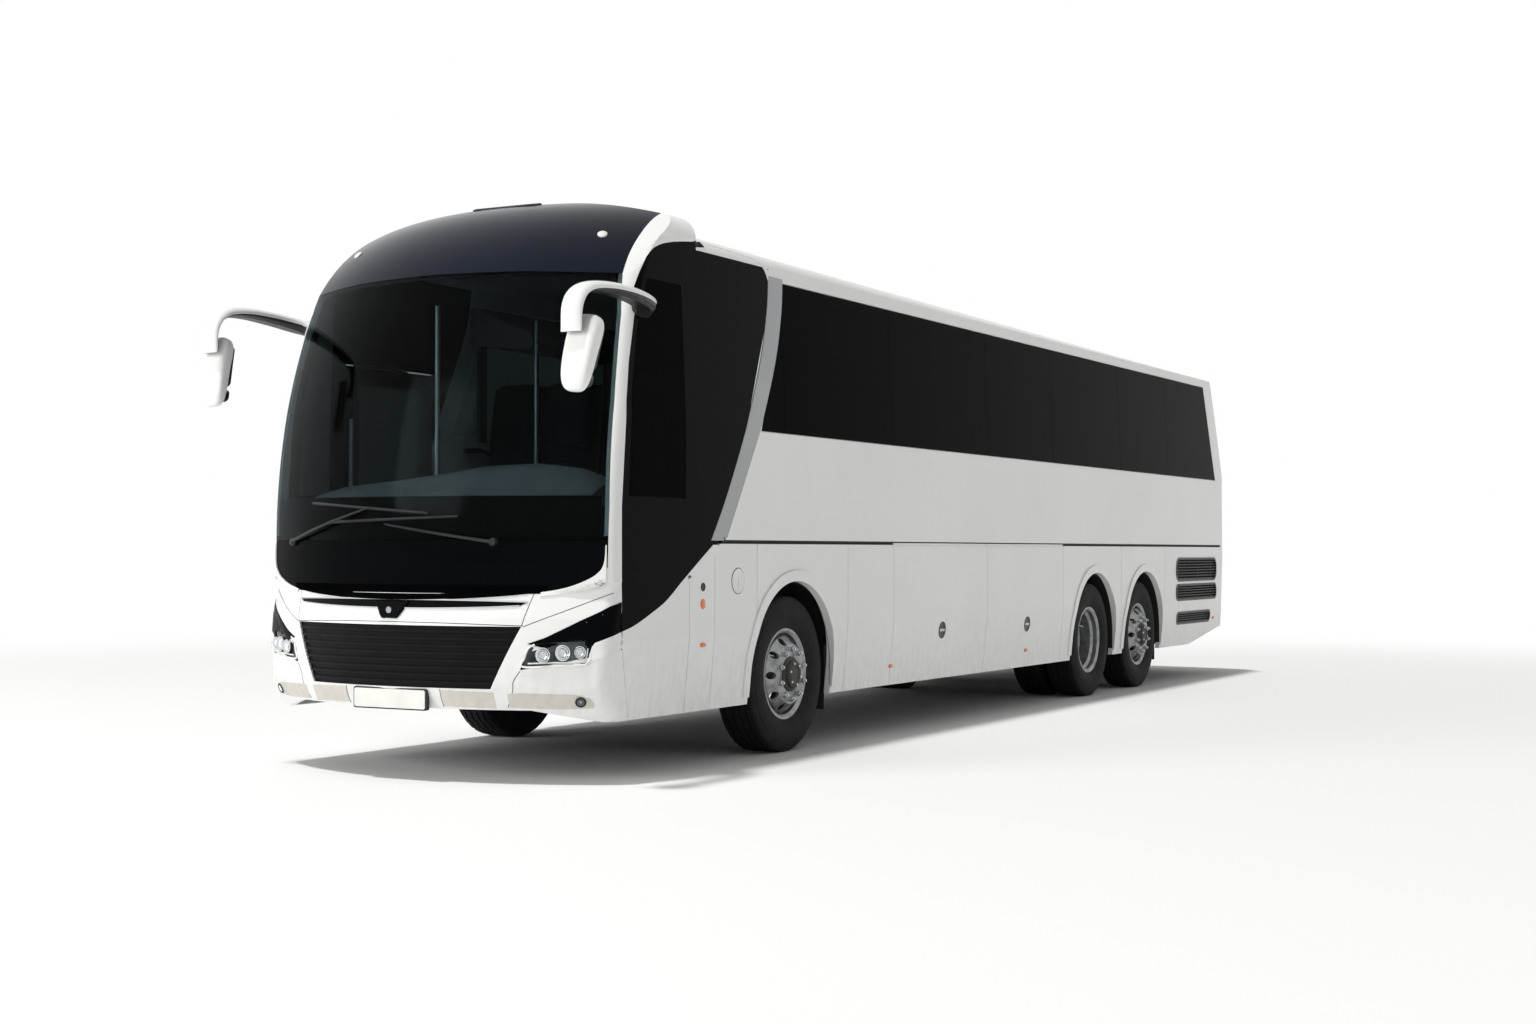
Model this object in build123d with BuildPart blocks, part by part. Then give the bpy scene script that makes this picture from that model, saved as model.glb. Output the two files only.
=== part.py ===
from build123d import *
import os
from math import cos, radians, sin, sqrt, tan

# Three-axle touring coach.  Millimetres, +X forward, +Y left, +Z up, ground at Z 0,
# origin on the ground midway between the mirror tips and the tail.
os.makedirs("parts", exist_ok=True)

# --- Driving dimensions ------------------------------------------------------------------
AXLE_FRONT_X = 3930                     # front axle ahead of the origin
WHEELBASE = 6060                        # front axle to drive axle
TAG_SPACING = 1470                      # drive axle to tag axle
AXLE_DRIVE_X = AXLE_FRONT_X - WHEELBASE
AXLE_TAG_X = AXLE_DRIVE_X - TAG_SPACING
FRONT_OVERHANG = 2700
REAR_OVERHANG = 3130
NOSE_X = AXLE_FRONT_X + FRONT_OVERHANG
TAIL_X = AXLE_TAG_X - REAR_OVERHANG

HALF_WIDTH = 1275                       # over the side panels
SILL_Y, SILL_Z = 1233, 360              # lower edge of the skirt
TUCK_Z = 820                            # below this the skirt leans inwards
WAIST_Z = 2120                          # above this the side leans inwards
EAVE_Y, EAVE_Z = 1224, 3215             # top of the side wall
ROOF_EDGE_Y, ROOF_EDGE_Z = 1130, 3295   # where the cant rail meets the roof
ROOF_CROWN_Z = 3390
ROOF_FALL = 80                          # the roof drops by this towards the tail
DOME_EAVE_Z = 3235
DOME_EDGE_Y, DOME_EDGE_Z = 1135, 3398   # shoulder of the raised front dome
DOME_CROWN_Z = 3545
DOME_REAR_X = AXLE_FRONT_X + 1251
NOSE_AXIS_X = AXLE_FRONT_X + 30         # the glazed nose is turned about this upright axis
MASK_AXIS_X = AXLE_FRONT_X + 500        # and the lower mask about this one
NOSE_CORNER_R, MASK_CORNER_R = 90, 110

WALL = 45                               # side, roof and nose wall
GLASS = 12                              # bonded panes
WINDSCREEN = 14
FIT = 0.3                               # seated pieces on one body
SEAM = 5                                # open joint between outer panels
GAP = 8                                 # round doors and lids

BELT_Z = 1404                           # hinge line of the luggage flaps
BELT_HALF = 12                          # half the height of the belt strip
DECK_TOP, DECK_BOTTOM = 1430, 1350      # passenger floor
CAB_FLOOR_TOP, CAB_FLOOR = 980, 50
HOLD_FLOOR_Z, HOLD_FLOOR = 400, 35
GLASS_BOTTOM_Z, GLASS_TOP_Z = 2125, 3120
LEDGE = 28                              # flange behind the edge of a pane
DECK_Y = HALF_WIDTH - WALL - FIT        # floors reach the inside of the walls

# --- Wheels and axles --------------------------------------------------------------------
TYRE_R, TYRE_WIDTH, TREAD_WIDTH = 524, 296, 250
RIM_R, RIM_FLANGE_R, RIM_WIDTH = 286, 303, 234
TRACK_Y = 1080                          # centre of a front or tag tyre
TWIN_OUTER_Y, TWIN_INNER_Y = 1086, 758  # centres of the twin tyres
DISC_OFFSET = 157                       # mounting face from the rim's centre
DISC_THICK = 13
KINGPIN_Y, KINGPIN_R = 900, 24
SPINDLE_R = 45
HUB_R = 112
HAND_HOLES = 10
ARCH_R, ARCH_Z = 596, 550               # wheel opening in the skirt and its centre height
HOUSING_Y, HOUSING_WALL = 545, 20       # inner wall of the wheel housings
HOLD_Y = 1190                           # half width of the luggage floor
STUB_R = 60                             # drive hub bearing seat
RAIL_Y, RAIL_W, RAIL_Z, RAIL_H = 430, 60, 700, 120


def export(part, label):
    part.label = label
    export_step(part, f"parts/{label}.step")


# --- Body surfaces -----------------------------------------------------------------------
def section(x, inset, eave_z, edge, crown):
    """Cross section of the body in the plane X = x, moved inwards by inset."""
    lean = (HALF_WIDTH - EAVE_Y) / (EAVE_Z - WAIST_Z)
    side = HALF_WIDTH - inset
    foot_z = -300
    foot = (side - (TUCK_Z - foot_z) * (HALF_WIDTH - SILL_Y) / (TUCK_Z - SILL_Z), foot_z)
    eave = (side - (eave_z - WAIST_Z) * lean, eave_z)
    edge = (edge[0] - 0.45 * inset, edge[1] - 0.9 * inset)
    bulge = (edge[0] + 0.74 * (eave[0] - edge[0]), eave_z + 0.66 * (edge[1] - eave_z))
    with BuildSketch(Plane.YZ.offset(x)) as profile:
        with BuildLine():
            Polyline((-foot[0], foot_z), foot, (side, TUCK_Z), (side, WAIST_Z), eave)
            ThreePointArc(eave, bulge, edge)
            ThreePointArc(edge, (0, crown - inset), (-edge[0], edge[1]))
            ThreePointArc((-edge[0], edge[1]), (-bulge[0], bulge[1]), (-eave[0], eave_z))
            Polyline((-eave[0], eave_z), (-side, WAIST_Z), (-side, TUCK_Z), (-foot[0], foot_z))
        make_face()
    return profile.sketch


TAIL_CORNER_R = 300
TAIL_BOW = 95                           # the tail bows out by this between its corners
TAIL = [                                # Z, rearmost X of the tail at that height
    (250, TAIL_X + 110), (700, TAIL_X + 50), (1250, TAIL_X), (2150, TAIL_X + 30),
    (3150, TAIL_X + 460), (3500, TAIL_X + 700)]


def tail_plan(z, x, inset):
    """Plan of the body at height z with its tail at X = x and rounded rear corners."""
    y = HALF_WIDTH - inset
    corner_y = y - TAIL_CORNER_R
    with BuildSketch(Plane.XY.offset(z)) as plan:
        with BuildLine():
            left = Line((DOME_REAR_X, y + 60), (x + TAIL_BOW + 360, y + 60))
            Line(left @ 1, (x + TAIL_BOW + 360, y))
            a = (x + TAIL_BOW + 330, y)
            Line((x + TAIL_BOW + 360, y), a)
            ThreePointArc(a, (x + TAIL_BOW + 96, y - 88), (x + inset + TAIL_BOW, corner_y))
            ThreePointArc((x + inset + TAIL_BOW, corner_y), (x + inset, 0),
                          (x + inset + TAIL_BOW, -corner_y))
            ThreePointArc((x + inset + TAIL_BOW, -corner_y), (x + TAIL_BOW + 96, 88 - y),
                          (a[0], -y))
            Line((a[0], -y), (x + TAIL_BOW + 360, -y))
            Line((x + TAIL_BOW + 360, -y), (x + TAIL_BOW + 360, -y - 60))
            Line((x + TAIL_BOW + 360, -y - 60), (DOME_REAR_X, -y - 60))
            Line((DOME_REAR_X, -y - 60), (DOME_REAR_X, y + 60))
        make_face()
    return plan.sketch


def main_hull(inset):
    """Solid body behind the front dome, shrunk by inset."""
    with BuildPart() as hull:
        add(section(DOME_REAR_X, inset, EAVE_Z, (ROOF_EDGE_Y, ROOF_EDGE_Z), ROOF_CROWN_Z))
        add(section(TAIL_X - 50, inset, EAVE_Z - 12, (ROOF_EDGE_Y, ROOF_EDGE_Z - ROOF_FALL),
                    ROOF_CROWN_Z - ROOF_FALL))
        loft(ruled=True)
    with BuildPart() as plan:
        for z, x in TAIL:
            add(tail_plan(z, x, inset))
        loft(ruled=True)
    with BuildPart() as body:
        add(hull.part)
        add(plan.part, mode=Mode.INTERSECT)
    return body.part


def nose_solid(profile_edges, axis_x, inset, corner_r):
    """Turn a half profile about an upright axis and cut it by the dome's cross section."""
    with BuildPart() as turned:
        with BuildSketch(Plane.XZ):
            with BuildLine():
                for kind, points in profile_edges:
                    if kind == "arc":
                        ThreePointArc(*points)
                    else:
                        Polyline(*points)
            make_face()
        revolve(axis=Axis((axis_x, 0, 0), (0, 0, 1)), revolution_arc=360)
    with BuildPart() as nose:
        add(section(AXLE_FRONT_X - 200, inset, DOME_EAVE_Z, (DOME_EDGE_Y, DOME_EDGE_Z),
                    DOME_CROWN_Z))
        extrude(amount=FRONT_OVERHANG + 400, dir=(1, 0, 0))
        add(turned.part, mode=Mode.INTERSECT)
        if inset < WINDSCREEN:
            corners = nose.edges().filter_by(
                lambda e: e.center().X > AXLE_FRONT_X + 1900 and abs(e.center().Y) > 1100
                and e.bounding_box().size.Z > 1.5 * e.bounding_box().size.X
                and e.bounding_box().max.Z < 3000)
            fillet(corners, radius=corner_r - inset)
    return nose.part


def glazed_nose(inset):
    """Nose above the mask: windscreen, pillars and dome."""
    x = AXLE_FRONT_X - inset
    return nose_solid([
        ("line", [(NOSE_AXIS_X, 900), (x + 2607, 900), (x + 2592, 1400)]),
        ("arc", [(x + 2592, 1400), (x + 2512, 2212), (x + 2290, 2974)]),
        ("arc", [(x + 2290, 2974), (x + 1960, 3330), (x + 1251, DOME_CROWN_Z)]),
        ("line", [(x + 1251, DOME_CROWN_Z), (x + 1000, DOME_CROWN_Z + 60),
                  (NOSE_AXIS_X, DOME_CROWN_Z + 60), (NOSE_AXIS_X, 900)])],
        NOSE_AXIS_X, inset, NOSE_CORNER_R)


def mask_nose(inset):
    """Nose below the windscreen: mask, grille and bumper."""
    x = AXLE_FRONT_X - inset
    return nose_solid([
        ("line", [(MASK_AXIS_X, -200), (x + 2540, -200), (x + 2575, 360)]),
        ("arc", [(x + 2575, 360), (x + 2662, 470), (x + 2696, 610)]),
        ("arc", [(x + 2696, 610), (x + FRONT_OVERHANG, 780), (x + 2686, 960)]),
        ("line", [(x + 2686, 960), (x + 2640, 1110), (x + 2610, 1300),
                  (MASK_AXIS_X, 1300), (MASK_AXIS_X, -200)])],
        MASK_AXIS_X, inset, MASK_CORNER_R)


def cab_side_solid(inset):
    """Straight stretch of body beside the cab, from sill to dome."""
    with BuildPart() as solid:
        add(section(AXLE_FRONT_X - 200, inset, DOME_EAVE_Z, (DOME_EDGE_Y, DOME_EDGE_Z),
                    DOME_CROWN_Z))
        extrude(amount=2400, dir=(1, 0, 0))
    return solid.part


def shell(make, outer, inner):
    """Layer of a body surface between two depths."""
    with BuildPart() as layer:
        add(make(outer))
        add(make(inner), mode=Mode.SUBTRACT)
    return layer.part


def side_prism(outline, side, near=900):
    """Block through one side wall from a closed outline of (X, Z) corners."""
    with BuildPart() as block:
        with BuildSketch(Plane.XZ.offset(-1500 if side > 0 else near)):
            with BuildLine():
                Polyline(*outline, close=True)
            make_face()
        extrude(amount=1500 - near)
    return block.part


def end_prism(outline, x0, x1):
    """Block along X from a closed outline of (Y, Z) corners."""
    with BuildPart() as block:
        with BuildSketch(Plane.YZ.offset(x0)):
            with BuildLine():
                Polyline(*outline, close=True)
            make_face()
        extrude(amount=x1 - x0)
    return block.part


def mirrored(points):
    """Closed (Y, Z) outline from its left half, listed from the centre line outwards."""
    return points + [(-y, z) for y, z in reversed(points) if y]


def rect(x0, z0, x1, z1):
    return [(x0, z0), (x1, z0), (x1, z1), (x0, z1)]


BODY = {"main": main_hull, "nose": glazed_nose, "mask": mask_nose, "cab": cab_side_solid}
WALLS = {name: shell(make, 0, WALL) for name, make in BODY.items()}
PANES = {name: shell(BODY[name], 0, GLASS) for name in ("main", "cab")}
REBATES = {name: shell(BODY[name], 0, GLASS + FIT) for name in ("main", "cab")}
WINDSCREEN_REBATE = shell(glazed_nose, 0, WINDSCREEN + FIT)

# Side outlines, X and Z.  The pale strip sweeps down behind the dark cab side.
STRIP_REAR = [(4061, 3128), (4105, 2900), (4180, 2680), (4339, 2304), (4445, 2064),
              (4527, 1870), (4655, 1700), (4781, 1545), (4905, BELT_Z + BELT_HALF)]
STRIP_FRONT = [(4239, 3128), (4275, 2920), (4338, 2756), (4545, 2290), (4624, 2056),
               (4703, 1870), (4795, 1707), (4890, 1545), (4975, BELT_Z + BELT_HALF)]
TAIL_SWEEP = [(5008, 1364), (5103, 1308), (5291, 1208), (5563, 1068), (5847, 935), (6098, 806)]
PILLAR_REAR = [(6101, 1165), (6104, 1600), (6050, 2217), (6005, 2448), (5925, 2721),
               (5822, 2971), (5740, 3070), (5600, 3160), (5373, 3216), (DOME_REAR_X, 3235)]
MASK_SEAM = [(5965, SILL_Z), (6098, 806), (6101, 1165)]
SIDE_GLASS_REAR = [(-6058, GLASS_BOTTOM_Z), (-5736, GLASS_TOP_Z)]
PANE_JOINTS = (4080, 2384, 515, -1001, -2840, -4340)    # X of the joints between panes
PANEL_REAR_X = TAIL_X + 450             # the tail moulding starts here

FRONT_DOOR = (4620, 5560, 400, 2560)    # rear and front X, bottom and top Z
MID_DOOR = (-1245, -405, 400, 2104)
FLAPS_LEFT = [(540, 2360), (-1250, 540)]
FLAPS_RIGHT = [(540, 2360), (MID_DOOR[1] + GAP, 540)]
PANELS = [(3130, 4470), (2360, 3130), (-2865, -1250), (-4240, -2865)]
PANEL_TOP_Z = BELT_Z - BELT_HALF
TAIL_PANEL = [(PANEL_REAR_X, SILL_Z + 151), (AXLE_FRONT_X - 9139, SILL_Z), (-4242, SILL_Z),
              (-4242, PANEL_TOP_Z), (PANEL_REAR_X, PANEL_TOP_Z)]
CAB_PANELS = [                          # white panels ahead of the front wheel
    [(5333, SILL_Z), (5962, SILL_Z), (6093, 801), (5847, 930), (5563, 1063), (5333, 1176)],
    [(5023, SILL_Z), (5328, SILL_Z), (5328, 1178), (5103, 1301), (5023, 1347)],
    [(4473, SILL_Z), (5018, SILL_Z), (5018, 1350), (4955, PANEL_TOP_Z), (4473, PANEL_TOP_Z)]]

# Front outlines, Y and Z, from the centre line outwards.
SCREEN_EDGE = [(1243, 1250), (1244, 1404), (1246, 1598), (1238, 1925), (1230, 2212),
               (1215, 2448), (1192, 2720), (1168, 2868), (1150, 2976), (1136, 3100),
               (1122, 3250), (1104, 3370), (1080, 3700)]
SCREEN_TOP_Z, SCREEN_CORNER_Z = 3003, 2976
LID_FOOT = [(0, 1104), (900, 1104), (1095, 1128), (1190, 1158), (1232, 1200)]
GRILLE_TOP, GRILLE_FOOT = (824, 912), (653, 553)


def grow(outline, d):
    """Shift the sloping side of a centre-out outline outwards by d."""
    return [(y + d, z) for y, z in outline]


def wheel_arch(x, side, radius):
    with BuildPart() as arch:
        with BuildSketch(Plane.XZ.offset(-1500 if side > 0 else 900)):
            with Locations((x, ARCH_Z)):
                Circle(radius)
            with Locations((x, ARCH_Z - 300)):
                Rectangle(2 * radius, 600)
        extrude(amount=600)
    return arch.part


LIP_W, LIP_OUT = 72, 12                    # moulded lip round each wheel arch
LIP_SHELL = shell(main_hull, -LIP_OUT, -FIT)
LOUVRES = [                                # rear X, bottom Z, front X, top Z, blades
    (-6110, 1030, -4630, 1280, 7), (-6110, 828, -4630, 1006, 5), (-5920, 580, -4700, 715, 4)]
LOUVRE_FRAME, LOUVRE_RIM = 22, 6           # width of the frame, and how far it stands proud
LOUVRE_ROUND = 0.42                        # corner radius as a share of the height
GRILLE_SHELL = shell(main_hull, -LOUVRE_RIM, WALL)


def louvre_block(x0, z0, x1, z1, side):
    """Block through one side wall with the rounded outline of a louvred grille."""
    with BuildPart() as block:
        with BuildSketch(Plane.XZ.offset(-1500 if side > 0 else 900)):
            with Locations(((x0 + x1) / 2, (z0 + z1) / 2)):
                RectangleRounded(x1 - x0, z1 - z0, LOUVRE_ROUND * (z1 - z0))
        extrude(amount=600)
    return block.part


def louvre_end(z, z0, z1):
    """Distance of a blade's end from the grille's end, halfway into the rounded frame."""
    half = (z1 - z0 - LOUVRE_FRAME) / 2
    radius = 2 * LOUVRE_ROUND * half
    rise = max(abs(z - (z0 + z1) / 2) - half + radius, 0)
    return LOUVRE_FRAME / 2 + radius - sqrt(radius ** 2 - rise ** 2)


def side_y(z):
    """Half width of the body side at height z, up to the waist."""
    return HALF_WIDTH - max(TUCK_Z - z, 0) * (HALF_WIDTH - SILL_Y) / (TUCK_Z - SILL_Z)


BEAD_R, HINGE_Y = 5, HALF_WIDTH - 9        # rubber hinge bead along the belt line
FLAP_DROP = 18                             # flap's upper edge below the bead
FLAP_WALL = shell(main_hull, 0, WALL - 10)
ROOF_REAR_X = TAIL_X + 750

# --- Sides -------------------------------------------------------------------------------
pairs = {name: [] for name in ("waist_panels", "windows", "swept_strips", "cab_sides", "skirts",
                               "belt_rails", "window_posts", "mirrors", "bumpers", "lamps",
                               "seats", "side_grilles")}
for side, tag in ((1, "left"), (-1, "right")):
    door = FRONT_DOOR
    door_gap = rect(door[0] - GAP, 300, door[1] + GAP, door[3] + GAP)
    mid_gap = rect(MID_DOOR[0] - GAP, 300, MID_DOOR[1] + GAP, MID_DOOR[3] + GAP)

    with BuildPart() as waist:
        top = GLASS_BOTTOM_Z + LEDGE
        add(side_prism([(PANEL_REAR_X, BELT_Z + BELT_HALF), *reversed(STRIP_REAR[4:]),
                        (4403, top), (PANEL_REAR_X, top)], side))
        add(WALLS["main"], mode=Mode.INTERSECT)
        pocket = side_prism(rect(-6058 - SEAM, GLASS_BOTTOM_Z - SEAM, 5000, 2400), side) \
            & REBATES["main"]
        add(pocket, mode=Mode.SUBTRACT)
        if side < 0:
            add(side_prism(door_gap, side), mode=Mode.SUBTRACT)
            add(side_prism(mid_gap, side), mode=Mode.SUBTRACT)
    pairs["waist_panels"].append(waist.part)

    with BuildPart() as glass:
        add(side_prism([SIDE_GLASS_REAR[0], SIDE_GLASS_REAR[1], (4063 - SEAM, GLASS_TOP_Z),
                        *[(x - SEAM, z) for x, z in STRIP_REAR[1:4]],
                        (4418 - SEAM, GLASS_BOTTOM_Z)], side))
        add(PANES["main"], mode=Mode.INTERSECT)
        for x in PANE_JOINTS:
            add(side_prism(rect(x - SEAM / 2, 2000, x + SEAM / 2, 3300), side),
                mode=Mode.SUBTRACT)
    pairs["windows"].append(glass.part)

    with BuildPart() as strip:
        add(side_prism([*STRIP_REAR, *reversed(STRIP_FRONT)], side))
        add(WALLS["cab"], mode=Mode.INTERSECT)
        if side < 0:
            add(side_prism(door_gap, side), mode=Mode.SUBTRACT)
    pairs["swept_strips"].append(strip.part)

    with BuildPart() as cab:
        add(side_prism([*[(x + FIT, z) for x, z in STRIP_FRONT], *TAIL_SWEEP,
                        *[(x - FIT, z) for x, z in PILLAR_REAR[:-1]],
                        (DOME_REAR_X + FIT, DOME_EAVE_Z - FIT), (DOME_REAR_X + FIT, 3200),
                        (4239 + FIT, 3200)], side))
        add(WALLS["cab"], mode=Mode.INTERSECT)
        if side > 0:
            pane = [(5378, 1664), (6030, 1664), (5985, 2300), (5895, 2680), (5775, 2958),
                    (5378, 2958)]
        else:
            pane = [(5640, 1664), (6030, 1664), (5985, 2300), (5895, 2680), (5775, 2958),
                    (5640, 2958)]
        cx = sum(x for x, z in pane) / len(pane)
        cz = sum(z for x, z in pane) / len(pane)
        inner = [(x + (LEDGE if x < cx else -LEDGE), z + (LEDGE if z < cz else -LEDGE))
                 for x, z in pane]
        add(side_prism(inner, side), mode=Mode.SUBTRACT)
        add(side_prism(pane, side) & REBATES["cab"], mode=Mode.SUBTRACT)
        if side < 0:
            add(side_prism(door_gap, side), mode=Mode.SUBTRACT)
    pairs["cab_sides"].append(cab.part)

    with BuildPart() as window:
        add(side_prism([(x + (3 if x == pane[0][0] else -3), z + (3 if z < cz else -3))
                        for x, z in pane], side))
        add(PANES["cab"], mode=Mode.INTERSECT)
    pairs["windows"].append(window.part)

    with BuildPart() as skirt:
        for x0, x1 in PANELS:
            add(side_prism(rect(x0 + SEAM / 2, SILL_Z, x1 - SEAM / 2, PANEL_TOP_Z), side))
        add(side_prism(TAIL_PANEL, side))
        add(WALLS["main"], mode=Mode.INTERSECT)
        for wheel_x in (AXLE_FRONT_X, AXLE_DRIVE_X, AXLE_TAG_X):
            add(wheel_arch(wheel_x, side, ARCH_R), mode=Mode.SUBTRACT)
        for x0, z0, x1, z1, blades in LOUVRES:
            add(louvre_block(x0 - FIT, z0 - FIT, x1 + FIT, z1 + FIT, side), mode=Mode.SUBTRACT)
    with BuildPart() as lips:
        for wheel_x in (AXLE_FRONT_X, AXLE_DRIVE_X, AXLE_TAG_X):
            add(wheel_arch(wheel_x, side, ARCH_R + LIP_W) - wheel_arch(wheel_x, side, ARCH_R))
        add(LIP_SHELL, mode=Mode.INTERSECT)
        add(side_prism(rect(-7000, SILL_Z + 45, 7000, 1300), side), mode=Mode.INTERSECT)
    with BuildPart() as grilles:
        for x0, z0, x1, z1, blades in LOUVRES:
            inner = louvre_block(x0 + LOUVRE_FRAME, z0 + LOUVRE_FRAME, x1 - LOUVRE_FRAME,
                                 z1 - LOUVRE_FRAME, side)
            add((louvre_block(x0, z0, x1, z1, side) & GRILLE_SHELL) - inner)
            pitch = (z1 - z0 - 2 * LOUVRE_FRAME) / blades
            for n in range(blades):
                z = z0 + LOUVRE_FRAME + (n + 0.5) * pitch
                y = side_y(z)
                slat = [(side * (y - 2), z - pitch * 0.36), (side * (y - 2), z - pitch * 0.12),
                        (side * (y - 32), z + pitch * 0.37), (side * (y - 32), z + pitch * 0.13)]
                end = louvre_end(z, z0, z1)
                add(end_prism(slat, x0 + end, x1 - end))
    pairs["side_grilles"].append(grilles.part)
    with BuildPart() as cab_skirt:
        for outline in CAB_PANELS:
            add(side_prism(outline, side))
        add(WALLS["cab"], mode=Mode.INTERSECT)
        add(wheel_arch(AXLE_FRONT_X, side, ARCH_R), mode=Mode.SUBTRACT)
        if side < 0:
            add(side_prism(door_gap, side), mode=Mode.SUBTRACT)
        add(skirt.part)
        add(lips.part)
    pairs["skirts"].append(cab_skirt.part)

    # Black rubber hinge rail: a groove that holds the bead of each luggage flap.
    with BuildPart() as rail:
        with BuildSketch(Plane.YZ.offset(PANEL_REAR_X + 1)):
            with Locations((side * (HINGE_Y - 20), BELT_Z)):
                Rectangle(24, 2 * BELT_HALF - 2 * FIT)
            with Locations((side * HINGE_Y, BELT_Z)):
                Circle(BEAD_R + 3.3)
                Circle(BEAD_R + FIT, mode=Mode.SUBTRACT)
            with BuildLine():
                Polyline((side * HINGE_Y, BELT_Z), (side * (HINGE_Y + 30), BELT_Z + 16),
                         (side * (HINGE_Y + 30), BELT_Z - 40), (side * (HINGE_Y - 20), BELT_Z - 40),
                         close=True)
            make_face(mode=Mode.SUBTRACT)
        extrude(amount=4895 - PANEL_REAR_X)
        if side < 0:
            add(side_prism(door_gap, side), mode=Mode.SUBTRACT)
            add(side_prism(mid_gap, side), mode=Mode.SUBTRACT)
    pairs["belt_rails"].append(rail.part)

    for n, (x0, x1) in enumerate(FLAPS_LEFT if side > 0 else FLAPS_RIGHT):
        with BuildPart() as flap:
            add(side_prism(rect(x0 + SEAM / 2, SILL_Z, x1 - SEAM / 2, BELT_Z - FLAP_DROP), side))
            add(FLAP_WALL, mode=Mode.INTERSECT)
            with BuildSketch(Plane.YZ.offset(x0 + SEAM / 2 + 1)):
                with Locations((side * HINGE_Y, BELT_Z)):
                    Circle(BEAD_R)
                with Locations((side * HINGE_Y, BELT_Z - FLAP_DROP / 2 - 1)):
                    Rectangle(4, FLAP_DROP + 2)
            extrude(amount=x1 - x0 - SEAM - 2)
        export(flap.part, f"luggage_flap_{tag}_{n + 1}")

    # Window posts stand between the waist panel and the cant rail, behind the panes.
    with BuildPart() as posts:
        for x in PANE_JOINTS[1:]:
            add(side_prism(rect(x - 35, GLASS_BOTTOM_Z + LEDGE, x + 35, GLASS_TOP_Z - LEDGE), side))
        add(shell(main_hull, GLASS + FIT, WALL), mode=Mode.INTERSECT)
    pairs["window_posts"].append(posts.part)

# --- Roof --------------------------------------------------------------------------------
with BuildPart() as roof:
    with BuildSketch(Plane.XZ.offset(-1500)):
        with BuildLine():
            Polyline((-7000, 3700), (-7000, GLASS_TOP_Z - LEDGE), (4239, GLASS_TOP_Z - LEDGE),
                     (4239, 3200 + FIT), (DOME_REAR_X, 3200 + FIT), (DOME_REAR_X, 3700),
                     close=True)
        make_face()
    extrude(amount=3000)
    add(WALLS["main"], mode=Mode.INTERSECT)
    for side in (1, -1):
        pocket = side_prism([(SIDE_GLASS_REAR[0][0] - 4, 2400), (SIDE_GLASS_REAR[1][0] - SEAM, GLASS_TOP_Z + SEAM),
                             (4100, GLASS_TOP_Z + SEAM), (4100, 2400)], side)
        add(pocket & REBATES["main"], mode=Mode.SUBTRACT)
        add(side_prism([(4061, 3128), (4105, 2900), (4500, 2900), (4500, 3128)], side),
            mode=Mode.SUBTRACT)
    split(bisect_by=Plane.YZ.offset(ROOF_REAR_X), keep=Keep.TOP)
export(roof.part, "roof")

# --- Nose --------------------------------------------------------------------------------
# The dome stands above the roof, so its rear edge has an upright web down to the roof.
with BuildPart() as step_web:
    add(section(DOME_REAR_X, 0, DOME_EAVE_Z, (DOME_EDGE_Y, DOME_EDGE_Z), DOME_CROWN_Z))
    extrude(amount=30, dir=(1, 0, 0))
with BuildPart() as under_roof:
    add(section(DOME_REAR_X - 1, WALL, EAVE_Z, (ROOF_EDGE_Y, ROOF_EDGE_Z), ROOF_CROWN_Z))
    extrude(amount=40, dir=(1, 0, 0))
dome_rear = step_web.part - under_roof.part
screen_top = [(0, SCREEN_TOP_Z), (600, SCREEN_TOP_Z - 7), (1150, SCREEN_CORNER_Z)]
lid_edge = LID_FOOT[1:] + SCREEN_EDGE[:2]
with BuildPart() as windscreen:
    add(end_prism(mirrored([(0, BELT_Z + 3), (SCREEN_EDGE[1][0] - 4, BELT_Z + 3),
                            *grow(SCREEN_EDGE[2:8], -4), (1146, SCREEN_CORNER_Z - 4),
                            *[(y, z - 4) for y, z in screen_top[1::-1]]]), 5500, 6700))
    add(shell(glazed_nose, 0, WINDSCREEN), mode=Mode.INTERSECT)
export(windscreen.part, "windscreen")

with BuildPart() as lid:
    add(end_prism(mirrored([*LID_FOOT, (1240, 1250), (1240, BELT_Z + LEDGE),
                            (0, BELT_Z + LEDGE)]), 6150, 6700))
    add(WALLS["nose"], mode=Mode.INTERSECT)
    add(end_prism(mirrored([(0, BELT_Z - 1), (1300, BELT_Z - 1), (1300, 1500), (0, 1500)]),
                  5500, 6700) & WINDSCREEN_REBATE, mode=Mode.SUBTRACT)
export(lid.part, "front_lid")

with BuildPart() as dome:
    add(end_prism(mirrored([(0, SCREEN_TOP_Z - LEDGE), (600, SCREEN_TOP_Z - 7 - LEDGE),
                            (1118, SCREEN_CORNER_Z - LEDGE), (1118, SCREEN_CORNER_Z),
                            *grow(SCREEN_EDGE[8:], -1.5), (0, 3700)]), DOME_REAR_X, 6700))
    add(WALLS["nose"], mode=Mode.INTERSECT)
    add(dome_rear & end_prism(mirrored([(0, 3100), (1134, 3100), *grow(SCREEN_EDGE[9:], -1.5),
                                        (0, 3700)]), DOME_REAR_X - 10, 6700))
    add(end_prism(mirrored([(0, 2700), (1300, 2700), (1300, SCREEN_CORNER_Z), *screen_top[::-1]]),
                  5500, 6700) & WINDSCREEN_REBATE, mode=Mode.SUBTRACT)
export(dome.part, "dome")

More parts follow.
